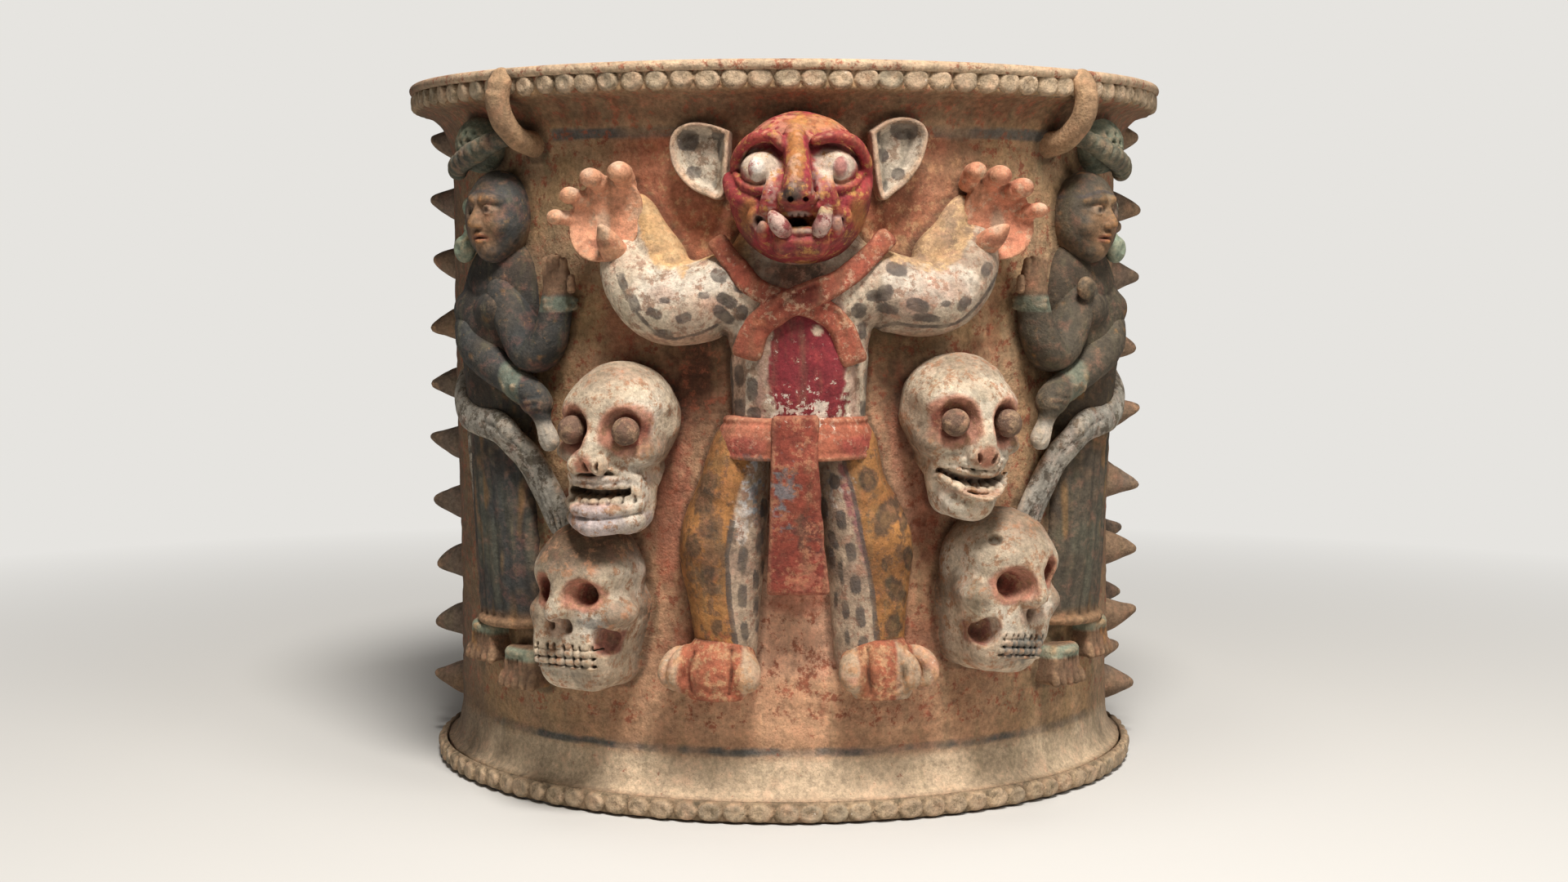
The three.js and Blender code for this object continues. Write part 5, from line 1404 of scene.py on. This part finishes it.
    head.rope([(fx - 6.6, 30.4, 388, 1, 1.8), (fx - 1.8, 35.6, 389.4, 1.7, 2.4),
               (fx + 1.8, 35.6, 389.4, 1.7, 2.4),
               (fx + 6.6, 30.4, 388, 1, 1.8)], 1)
    head.rope([(fx - 5.6, 30.4, 386.6, 1, 1.8), (fx, 35.4, 384.9, 2, 2.5), (fx + 5.6, 30.4, 386.6, 1, 1.8)],
              1)
    head.press([(fx - 6.4, 387.3), (fx, 387.2), (fx + 6.4, 387.3)], 0.7, 1.2, above=24)
    head.ball((side * 17, 14, 402), (4, 6, 9), 2)

    def head_paint_man(coat):
        coat.on_piece(400)
        worn(coat, linear("9c7350"), 0.75)
        coat.patch("96704f", fx, 4, 14, 22, 0.6, 0.4)
        coat.patch(CHARCOAL, fx * 0.3 + side * 13, 0, 9, 26, 0.5, 0.4)
        coat.line([(fx - 14, -15), (fx, -19), (fx + 14, -15)], 1.2)
        for s in (-1, 1):
            coat.patch("9a8672", fx + s * 8.2, -6, 4.6, 2.6, 0.8, 0.15)
            coat.patch(SOOT, fx + s * 8.2, -6, 1.9, 2.0, 0.8, 0.1)
        coat.patch(BRICK, fx, 13, 6.5, 3, 0.5, 0.3)

    fire(f"{who}_head", head, dark, head_paint_man, GLOSSY_SLIP, seed=92 + side, lumps=0.25)

    hat = box(-9.4, 13.4, 424, 476)
    hat.ball((at(5), 8, 452), (24, 16.5, 19.5), 3)
    hat.rope([(at(-6), 12, 458, 5.6, 6.6), (at(-3), 22, 452, 6.6, 7), (at(0), 26, 446, 7.4, 7.6),
              (at(4.4), 26, 439, 7, 7), (at(8), 20, 434, 6.4, 6.6)], 1.5)
    for k in range(9):
        t = k / 8
        x = at(-5 + 12 * t)
        z = 457 - 22 * t
        hat.press([(x - 3 * side, z - 6), (x + 3 * side, z + 6)], 0.9, 1.2, above=10)
    for row in range(4):
        for k in range(6):
            x, z = at(0.6 + 1.9 * k + 0.9 * (row % 2)), 447 + 6.2 * row
            hat.ball((x, 25 - 0.05 * ((k - 2.5) * 4) ** 2 - 0.35 * (row - 1) ** 2, z), (2.3, 4.4, 2.1), 1,
                     carve=True)

    def hat_paint(coat):
        coat.wash(CHARCOAL, coat.broad, -0.1, 0.8, 0.6)
        roll_line = np.interp(side * coat.x, [bent(46), bent(52), bent(60)], [458, 446, 434])
        coat.blend(dark, ramp(-np.abs(coat.z - roll_line), -10, -6) * ramp(coat.h, 12, 18) * 0.6)
        coat.wash(OCHRE, coat.mid, 0.4, 0.8, 0.4)
        coat.fleck += 0.19

    fire(f"{who}_hat", hat, "727866", hat_paint, EARTH, seed=96 + side)

    flare = box(1.2, 9.6, 366, 424)
    flare.rope([(at(4.2), 14, 411, 5.4, 6.4), (at(4.6), 16, 398, 5, 6), (at(5), 16, 386, 6.6, 7)], 2)
    flare.ball((at(4.3), 20, 409), (7, 4, 7), 1.5)
    flare.ball((at(4.3), 25, 409), (3.2, 3, 3.2), 1, carve=True)
    flare.ball((at(5.6), 21, 380), (10.4, 6.6, 9.6), 2)
    flare.ball((at(5.6), 28.4, 380), (5, 2.8, 4.6), 1, carve=True)
    for k in range(4):
        flare.press([(at(3.4), 403 - 5 * k), (at(5.8), 402 - 5 * k)], 0.8, 1.0, above=14)

    def flare_paint(coat):
        coat.wash(CHARCOAL, coat.broad, 0.1, 0.9, 0.7)
        coat.wash(OCHRE, coat.mid, 0.4, 0.8, 0.5)
        coat.fleck += 0.17

    fire(f"{who}_ear_flare", flare, SAGE, flare_paint, EARTH, seed=100 + side)

    robe = box(-9.4, 12.4, 108, 268, lift=-9)
    robe.slab([(at(1.6), 3, 258, 30, 21), (at(1.2), 3, 215, 32.5, 19), (at(0.8), 3, 160, 35.6, 16.4),
               (at(1), 2, 118, 34, 13.4)], 5, box=False)
    for k in range(-3, 4):
        top, foot = at(1.6) + k * 8, at(1) + k * 10.4
        robe.press([(top, 246), ((top + foot) / 2 + 1.5, 185), (foot, 124)], 2.2, 0.9 + 0.3 * (k % 2),
                   above=4)
    robe.rope([(at(-6.4), 3, 122, 3, 6), (at(-3), 12.6, 121, 3, 5), (at(1), 15.5, 120.5, 3, 5),
               (at(5), 12.6, 121, 3, 5),
               (at(8.6), 3, 122, 3, 6)], 2)

    def robe_paint(coat):
        coat.on_piece(188)
        coat.wash(UMBER, coat.broad, -0.4, 0.7, 0.6)
        coat.wash("6f5a48", coat.mid + coat.broad * 0.6, 0.1, 0.8, 0.6)
        coat.blend("5a5a4c", ramp(noise(np.column_stack([coat.x, coat.h, coat.z * 0.25]), 9, 33), 0.1,
                                  0.7) * 0.5)
        coat.blend("86653f", ramp(noise(np.column_stack([coat.x, coat.h, coat.z * 0.3]), 7, 34), 0.35,
                                  0.8) * 0.6)
        coat.blend("9a7250", ramp(-(coat.z - 127), -5, 4) * 0.6)
        coat.fleck += 0.19

    fire(f"{who}_robe", robe, dark, robe_paint, seed=104 + side)

    sash = box(-15.4, 14, 150, 300, lift=-6, top=44)
    sash.rope([(at(9.6), 12, 290, 7, 6), (at(7), 21, 277, 8.6, 5.4), (at(4), 25, 266, 10, 5),
               (at(0), 25.6, 261, 10, 5),
               (at(-3.5), 22.6, 258, 11, 5), (at(-6), 18, 247, 10.5, 5), (at(-8), 11, 234, 11.5, 5),
               (at(-10.6), 6.6, 212, 11.5, 5), (at(-12.4), 4, 194, 11.5, 5)], 1.5)
    sash.rope([(at(9.8), 8, 290, 7.4, 7), (at(11), 4, 236, 5.6, 5.4), (at(10.4), 3, 195, 5, 5),
               (at(9.6), 2, 158, 4.6, 5)],
              1.5)
    sash.ball((at(-5.2), 24, 256), (9, 6, 9), 2.5)
    sash.press([(at(-1.6), 262), (at(-5), 256), (at(-8.4), 240)], 1.2, 1.3, above=12)
    for k in (-1, 0, 1):
        sash.press([(at(-8) + 4 * k, 240), (at(-12.4) + 5 * k, 190)], 1, 0.9)
        sash.press([(at(8) , 283 + 3 * k), (at(2), 264 + 3 * k)], 0.9, 0.7, above=16)
    for k in range(4):
        sash.press([(at(-12.4) + 4.6 * (k - 1.5), 200), (at(-12.8) + 5 * (k - 1.5), 186)], 1, 1.6)

    def sash_paint(coat):
        coat.wash("7c786f", coat.broad, -0.3, 0.8, 0.7)
        coat.rub("5d5347", 0.45)
        coat.wash(CHARCOAL, coat.mid - coat.broad * 0.3, 0.35, 0.8, 0.5)
        coat.fleck += 0.33

    fire(f"{who}_sash", sash, "a39c90", sash_paint, seed=108 + side)

    for which, offset, top in (("inner", -4.8, 106), ("outer", 5, 120)):
        limb = box(offset - 6, offset + 6, top - 36, top + 6, 1.2, top=34)
        limb.slab([(at(offset), 4, top, 14.5, 12.5), (at(offset - 0.3), 4, top - 12, 15.5, 14),
                   (at(offset - 0.4), 4, top - 28, 18.5, 15)], 5)
        for k in range(5):
            x = at(offset - 0.4) + (k - 2) * 7
            limb.rope([(x, 15, top - 20, 3.2, 4.5), (x + (k - 2) * 0.4, 18, top - 26, 3, 3.6)], 1)
        for k in range(6):
            x = at(offset) + (k - 2.5) * 4.8
            limb.press([(x, top - 7), (x + 0.4, top - 17)], 0.8, 1.0, above=8)
        limb.rope([(at(offset) - 13, 12, top - 5, 2, 4), (at(offset), 17, top - 5, 2.2, 3),
                   (at(offset) + 13, 12, top - 5, 2, 4)],
                  1)

        def foot_paint(coat, top=top):
            coat.wash(UMBER, coat.broad, -0.1, 0.9, 0.5)
            coat.blend(SAGE, ramp(-np.abs(coat.z - top + 5), -5, -3) * 0.8)
            coat.wash(OCHRE, coat.mid, 0.2, 0.8, 0.5)
            coat.fleck += 0.19

        fire(f"{who}_foot_{which}", limb, "7c604a", foot_paint, EARTH, seed=112 + side)


for side in MODEL_SIDES:
    man(side)


def plain_paint(coat):
    coat.wash(TAN, coat.broad, -0.3, 0.7, 0.8)
    coat.wash(BROWN, coat.mid, 0.2, 0.8, 0.4)
    coat.fleck += 0.11


def outside(z):
    """How far the wall flares out at a height."""
    foot = np.clip((50 - z) / (50 - 15.0), 0, 1)
    top = np.clip((z - 442.5) / 37.5, 0, 1)
    out = RIM_OUT * (1 - np.sqrt(1 - top**2)) * (top < 1)
    return FOOT_OUT * (1 - np.sqrt(1 - foot**2)) + out + RIM_OUT * (top >= 1)


HANDLES = {"front_left": -44.5, "front_right": 43.5, "back_left": -135.5, "back_right": 136.5}
for number, (name, angle) in enumerate(HANDLES.items()):
    clay = Clay((-16, -8, 438), (16, 52, 500), 1.1, angle=angle)
    clay.rope([(0, 33, 491, 9, 6), (0, 37, 483, 7.6, 7.6), (0, 36, 472, 7.4, 7.4), (0, 30, 462, 7.4, 7.4),
               (0, 18, 453, 7.4, 7.4), (0, 0, 450, 9.4, 8)], 1.5, 5)
    clay.press([(-5, 487), (5, 485)], 2.4, 1, above=30)
    fire(f"handle_{name}", clay, BUFF, plain_paint, EARTH, seed=120 + number, lumps=0.5)

ROWS = {"left": (-98, 10, 47, 462), "right_front": (92.5, 9, 44, 466), "right_back": (101.5, 9, 62, 446)}


def spine_paint(coat):
    coat.wash(TAN, coat.broad, -0.4, 0.6, 0.8)
    coat.wash(UMBER, coat.h, 12, 30, 0.35)
    coat.fleck += 0.19


for number, (name, (angle, count, low, high)) in enumerate(ROWS.items()):
    clay = Clay((-19, -8, low - 18), (19, 36, high + 18), 1.4, angle=angle)
    clay.slab([(0, -1, low - 13, 11, 3.6), (0, -1, high, 11, 3.6)], 2)
    rng = np.random.default_rng(number + 5)
    for k in range(count):
        z = low + (high - low) * k / (count - 1)
        lean, rise, cut = rng.uniform(-3, 3), rng.uniform(-4, 4), rng.uniform(23, 28)
        clay.rope([(0, -2, z, 13.6, 12), (0, 6, z, 11, 10), (lean * 0.4, 15, z + rise * 0.4, 7.2, 7),
                   (lean, cut, z + rise, 2.8, 2.8)], 3)
    # nothing of the bed reaches through the wall where it flares
    where, x, h, z = clay.window((-200, -20, 0), (200, 60, 500))
    clay.merge(where, (h - outside(z) + 7 + 0 * x).astype(np.float32), 1, True)
    fire(f"spine_row_{name}", clay, "77675a", spine_paint, EARTH, seed=130 + number, lumps=0.6)


# The vessel: one wall from foot to lip and back down inside, with the clay smeared up round each luted piece
WRAP = Clay((0, 0, 0), (2, 2, 2), 1)
THICK = 13.0


def sweep(angles, section):
    """Faces of a closed section carried right round the vessel."""
    a, s = len(angles), section
    i = np.repeat(np.arange(a), s)
    j = np.tile(np.arange(s), a)
    i2, j2 = (i + 1) % a, (j + 1) % s
    return np.column_stack([i * s + j, i2 * s + j, i2 * s + j2, i * s + j2])


def make_wall():
    front = np.arange(-112, 112, 0.36)
    back = np.arange(112, 248, 1.4)
    angles = np.concatenate([front, back])
    out_z = np.concatenate([np.arange(0.8, 483.5, 1.55), np.arange(483.5, 496, 0.9)])
    lip_turn = np.linspace(-70, 100, 12)
    lip = [(RIM_OUT + LIP * 0.45 + 3.4 * math.cos(math.radians(t)), 496.2 + 3.6 * math.sin(math.radians(t)))
           for t in lip_turn]
    in_z = np.concatenate([np.arange(499, 430, -3.0), np.arange(430, 0, -8.0), [0.6]])
    section = [(float(outside(z)), z) for z in out_z] + lip
    section += [(float(outside(z)) - THICK, z) for z in in_z]
    section = np.array(section)
    outer = len(out_z)
    x = np.repeat(angles * ARC, len(section))
    h = np.tile(section[:, 0], len(angles))
    z = np.tile(section[:, 1], len(angles))
    points = np.column_stack([x, h, z])
    points[:, 0] = (points[:, 0] + 180 * ARC) % (360 * ARC) - 180 * ARC
    world = WRAP.place(points)
    kind = np.tile(np.arange(len(section)) < outer + 8, len(angles))
    lumps = 0.9 * noise(world, 46, 201) + 0.55 * noise(world, 17, 202) + 0.25 * noise(world, 7, 203)
    wiped = 0.35 * noise(np.column_stack([x * 0.16, z * 1.6, h * 0]), 7, 204)
    skirt = np.full(len(points), 99.0)
    for clay in LUTED:
        local = clay.local(world)
        low = clay.low - 8
        high = clay.low + clay.cell * (np.array(clay.field.shape) - 1) + 8
        near = ((local > low) & (local < high)).all(axis=1) & kind
        if near.any():
            skirt[near] = np.minimum(skirt[near], clay.sample(local[near]))
    raised = 2.6 * np.exp(-np.clip(skirt, 0, 40) / 2.6) * (1 + 0.35 * noise(world, 9, 205))
    points[:, 1] += np.where(kind, lumps + wiped + raised, lumps * 0.7) * np.where(z > 480, 0.45, 1)
    coat = Coat(WRAP, points, linear("a3835f"))
    coat.on_piece(0)
    wall_paint(coat)
    # painted shade on the wall in a band round each luted piece, where they meet
    hollow_shade = ramp(-np.abs(skirt - 1.5), -5, 0) * 0.75 * ramp(BAND - skirt, 0, 2)
    grid = points[:, 1].reshape(len(angles), -1)
    rough = np.abs(np.gradient(grid, axis=0)) + np.abs(np.gradient(grid, axis=1))
    edge = np.clip(ramp(rough.ravel(), 0.5, 1.6) * 0.3 + ramp(z, 497, 499.5), 0, 1)
    faces = sweep(angles, len(section))
    add_piece("vessel_body", coat.world, faces, coat, hollow_shade, edge, EARTH,
              ["vessel_foot", "vessel_wall", "vessel_rim"])


def wall_paint(coat):
    """The slips of the wall: brick behind the feline, pale low down, worn, and dark at the sides as painted
    shade.
    """
    angle, z = coat.x / ARC, coat.z
    streak = noise(np.column_stack([coat.x, coat.h * 0, z * 0.2]), 8, 210)
    smear = noise(np.column_stack([coat.x * 0.3, coat.h * 0, z]), 14, 211)
    coat.blend("a98a6b", ramp(coat.broad, -0.4, 0.6))
    coat.wash(TAN, coat.mid + coat.broad * 0.5 + 0.4 * streak, -0.1, 0.8, 0.6)
    coat.wash("7d7757", streak + 0.6 * coat.broad, 0.3, 1.0, 0.4)
    coat.rub("93553f", 0.36)
    behind = ramp(-np.abs(angle + 0.5) - 2.5 * coat.broad, -32, -23) * ramp(z + 12 * coat.broad, 322, 352)
    behind = behind * ramp(-(z + 4 * coat.mid), -457, -448)
    coat.blend("95503b", behind * (0.72 + 0.25 * smear))
    coat.blend("b77257", behind * ramp(-angle, 6, 18) * 0.5)
    coat.blend("a9764f", behind * ramp(smear + coat.mid, 0.35, 1.0) * 0.55)
    coat.wear = np.where(behind > 0.5, 0.38, coat.wear)
    coat.under[behind > 0.5] = linear("b58a66")
    low = ramp(-np.abs(angle) - 3 * coat.broad, -44, -28) * ramp(-z + 10 * coat.broad, -330, -300)
    coat.blend("b18468", low * 0.6)
    for a, level, wide, tall, much in (
        (-20, 205, 14, 46, 0.6), (20.5, 228, 12, 50, 0.6), (-16.5, 112, 18, 20, 0.5), (19, 116, 18, 18, 0.4),
        (-33, 110, 22, 14, 0.35), (34, 104, 22, 14, 0.35), (-6, 78, 40, 10, 0.35), (12, 70, 36, 8, 0.3),
        (-28, 330, 16, 26, 0.5), (31, 330, 14, 26, 0.3), (-18.5, 262, 10, 30, 0.4), (15.5, 268, 8, 34, 0.5),
    ):
        coat.patch("94503f", bent(a), -level, wide, tall, much, 0.8)
    coat.patch("c38e73", bent(17.5), -232, 10, 34, 0.6, 0.6)
    # painted shade under the arms, between the torso and the upper skulls
    for a, level, wide, tall, much in ((-15.5, 296, 20, 34, 0.88), (15.5, 292, 15, 26, 0.55),
                                       (-13, 322, 14, 10, 0.5),
                                       (15, 320, 14, 9, 0.4), (-24, 296, 26, 10, 0.3)):
        coat.patch("4a2a1e", bent(a), -level, wide, tall, much, 0.5, soft=0.7)
    between = ramp(-np.abs(angle), -10.5, -7) * ramp(-z, -240, -228) * ramp(z, 84, 98)
    coat.blend("cfa083", between * 0.9)
    sole = ramp(-np.abs(angle), -22, -12) * ramp(-z, -108, -90) * ramp(z, 50, 60)
    coat.blend("c69a78", sole * ramp(coat.mid + 0.6 * streak + 0.8, 0, 0.6) * 0.7)
    coat.patch("8f4a36", 0, -146, 22, 9, 0.6, 0.4)
    coat.wear = np.where(z < 60, 0.12, coat.wear)
    coat.blend("cbb598", ramp(-z + 3 * coat.mid, -48, -36) * ramp(z, 12, 17) * 0.85)
    # the flare under the rim darker: partly its brown slip, partly painted shade where the flare faces down
    coat.blend("664b38", ramp(z + 3 * coat.mid, 455, 468) * ramp(-z, -484, -478) * 0.75)
    coat.blend("73472f", ramp(z, 458, 470) * ramp(-z, -484, -478) * ramp(streak + smear, 0.1, 0.9) * 0.6)
    coat.wash("c9b195", z, 484, 490, 0.7)
    for level, width, low, high in ((456, 3.1, -41, -17), (456, 3.1, 18, 46), (45, 2.0, -60, 62)):
        gap = np.abs(z - level + 0.9 * coat.mid + 0.9 * coat.broad + 0.4 * coat.fine) - width
        inside = ramp(angle, low - 1, low + 1) * ramp(-angle, -high - 1, -high + 1)
        coat.blend("4f5352", ramp(-gap, -1.4,
                                  0.4) * inside * (0.4 + 0.5 * ramp(smear + 0.6 * streak, -0.4, 0.5)))
    coat.blend("c0a07c", bell(angle - 33, 12) * bell(z - 330, 90) * ramp(coat.mid + streak + 0.6, 0,
                                                                         0.8) * 0.6)
    # painted shade: darker towards the sides, the left side more, where the wall turns from the light; then
    # darker towards the back
    coat.blend("5b4636", ramp(np.abs(angle) - 8 * (angle > 0) + 6 * coat.broad, 46,
                              84) * (0.72 + 0.14 * (angle < 0)))
    coat.blend("5e4b3e", ramp(np.abs(angle) + 8 * coat.mid, 120, 160) * 0.3)
    coat.wash(UMBER, coat.broad - 0.3, 0.1, 0.8, 0.3)
    coat.fleck += 0.12 + 0.14 * ramp(z, 484, 492)


make_wall()


def make_strip(name, inner, bottom, height, soft, seed):
    """A band with a row of clay pellets pressed on to it, no two quite alike."""
    crest = inner + STRIP
    presses = round(2 * math.pi * crest / 17.3)
    per, rows = 18, 22
    angles = np.arange(presses * per) * 360.0 / (presses * per)
    rng = np.random.default_rng(seed)
    shift, tall, push, size, tilt = (rng.uniform(-1, 1, presses) for _ in range(5))
    place = np.arange(presses * per) // per
    part = ((np.arange(presses * per) % per) + 0.5) / per * 2 - 1 + 0.12 * shift[place]
    half = height / 2
    middle = bottom + half
    r = np.zeros((len(angles), rows + 2))
    z = np.zeros_like(r)
    up = np.linspace(-1, 1, rows)
    reach = 1.0 + 0.09 * size[place]
    for j, u in enumerate(up):
        away = np.sqrt((part / reach) ** 2 + ((u - 0.08 * tall[place]) / (0.95 + 0.05 * size[place])) ** 2)
        pellet = (STRIP - 2.3) * np.sqrt(np.clip(1 - away**3.4, 0, 1)) ** 0.8
        dent = 1.5 * soft * np.exp(-((away / 0.62) ** 2)) * (1 + 0.5 * push[place])
        lean = 0.9 * tilt[place] * part + 0.7 * part
        band = 1.9 * math.sqrt(max(0.0, 1 - abs(u) ** 6))
        r[:, j] = (inner + band + pellet * soft - (dent - lean) * (away < 0.98) * (pellet > 0.2)
                   + 0.2 * push[place])
        z[:, j] = middle + u * half
    r[:, rows], z[:, rows] = inner - 0.8, middle + half * 0.8
    r[:, rows + 1], z[:, rows + 1] = inner - 0.8, middle - half * 0.8
    r = np.minimum(r, crest - 0.05)
    flat = np.column_stack([np.repeat(angles, rows + 2), r.ravel(), z.ravel()])
    flat[:, 0] = (flat[:, 0] + 180) % 360 - 180
    points = np.column_stack([flat[:, 0] * ARC, flat[:, 1] - wall_radius(flat[:, 2]), flat[:, 2]])
    points[:, 1] += 0.3 * noise(WRAP.place(points), 4, seed) - 0.3
    coat = Coat(WRAP, points, linear("b59b7c"))
    coat.on_piece(0)
    coat.wash(TAN, coat.broad, -0.2, 0.8, 0.6)
    proud = ramp(flat[:, 1] - inner, 3.2, 5.6)
    coat.blend("b5a189", proud * 0.6)
    coat.rub("8a7860", 0.4)
    coat.blend("8d8a78", proud * ramp(np.repeat(push[place], rows + 2), 0.2, 0.9) * 0.5)
    # painted shade: darker towards the sides, where the vessel turns from the light
    coat.blend("6b5444", ramp(np.abs(flat[:, 0]) + 6 * coat.broad, 62, 100) * 0.6)
    coat.fleck += 0.25 + 0.25 * proud
    # painted shade in the low places between the pellets
    hollow_shade = ramp(3.4 - (flat[:, 1] - inner), 0, 1.8) * 0.55 * soft
    edge = proud * 0.4
    add_piece(name, coat.world, sweep(angles, rows + 2), coat, hollow_shade, edge, EARTH, [name])


make_strip("rim_strip", 273.3, 480.3, 15.4, 1.0, 301)
make_strip("foot_strip", 259.3, 1.0, 14.0, 0.75, 302)


def make_floor():
    """The slab inside the foot, worked flat by hand."""
    angles = np.arange(0, 360, 3.0)
    section = [(r, 16.0) for r in np.linspace(0.5, 229, 32)] + [(230.8, 14.8), (231.0, 1.2)]
    section += [(r, 0.3) for r in np.linspace(229.5, 0.5, 20)]
    section = np.array(section)
    a = np.repeat(angles, len(section))
    r, z = np.tile(section[:, 0], len(angles)), np.tile(section[:, 1], len(angles))
    a = (a + 180) % 360 - 180
    points = np.column_stack([a * ARC, r - wall_radius(z), z])
    world = WRAP.place(points)
    points[:, 2] += np.where(z > 10, 0.8 * noise(world, 22, 401) - 0.8, 0)
    coat = Coat(WRAP, points, TAN)
    coat.wash(BROWN, coat.broad, -0.3, 0.7, 0.7)
    coat.fleck += 0.11
    none = np.zeros(len(points))
    add_piece("vessel_floor", coat.world, sweep(angles, len(section)), coat, none, none, EARTH,
              ["vessel_floor"])


make_floor()


# Studio: a pale floor that fades out, soft lamps, and the photograph's point of view
BACKDROP = linear("e6e4e0")
WARM_LIGHT = (1.0, 0.97, 0.93)


def make_studio_floor():
    mesh = bpy.data.meshes.new("studio_floor")
    sides, reach = 64, 9
    turns = np.linspace(0, 2 * math.pi, sides + 1)[:-1]
    mesh.from_pydata([(reach * math.cos(a), reach * math.sin(a), 0) for a in turns], [], [list(range(sides))])
    floor = add_object("studio_floor", mesh)
    material = bpy.data.materials.new("studio_floor")
    n = Nodes(material)
    where = n.add("TexCoord").outputs["Object"]
    away = n.add("VectorMath", {0: where}, operation="LENGTH").outputs["Value"]
    fade = n.span(away, 0.5, 1.5)
    seen = n.add("LightPath").outputs["Is Camera Ray"]
    matt = n.add("BsdfPrincipled", {"Base Color": (*linear("c6c4c0"), 1), "Roughness": 0.9})
    glow = n.add("Emission", {"Color": (*BACKDROP, 1), "Strength": 1.0})
    mix = n.add("MixShader", {0: n.math("MULTIPLY", fade, seen), 1: matt.outputs[0], 2: glow.outputs[0]})
    n.add("OutputMaterial", {0: mix.outputs[0]})
    mesh.materials.append(material)
    floor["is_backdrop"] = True


def make_surroundings():
    world = bpy.data.worlds.new("studio")
    bpy.context.scene.world = world
    n = Nodes(world)
    room = n.add("Background", {0: (*WARM_LIGHT, 1), 1: 0.12})
    sky = n.add("Background", {0: (*BACKDROP, 1)})
    seen = n.add("LightPath").outputs["Is Camera Ray"]
    mix = n.add("MixShader", {0: seen, 1: room.outputs[0], 2: sky.outputs[0]})
    n.add("OutputWorld", {0: mix.outputs[0]})


def make_lamps():
    for name, place, size, power in (
        ("key", (0.18, -1.5, 2.5), 0.8, 108),
        ("side", (1.5, -1.9, 1.7), 0.9, 14),
        ("top", (0.0, -0.3, 2.4), 0.9, 12),
    ):
        lamp = bpy.data.lights.new(name, "AREA")
        lamp.shape = "DISK"
        lamp.size = size
        lamp.energy = power
        lamp.color = WARM_LIGHT
        holder = add_object(name, lamp)
        holder.location = place
        x, y, z = np.array([0, 0, 0.27]) - np.array(place)
        holder.rotation_euler = (math.atan2(math.hypot(x, y), -z), 0, math.atan2(-x, y))


def make_camera():
    camera = bpy.data.cameras.new("camera")
    camera.lens = LENS
    camera.sensor_width = SENSOR
    camera.clip_start = 0.05
    holder = add_object("camera", camera)
    holder.location = tuple(EYE * MM)
    holder.rotation_euler = (math.radians(90 - EYE_PITCH), 0, math.radians(EYE_AZIMUTH))
    bpy.context.scene.camera = holder
    bpy.context.scene.view_settings.view_transform = "Standard"


make_studio_floor()
make_surroundings()
make_lamps()
make_camera()

low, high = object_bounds()
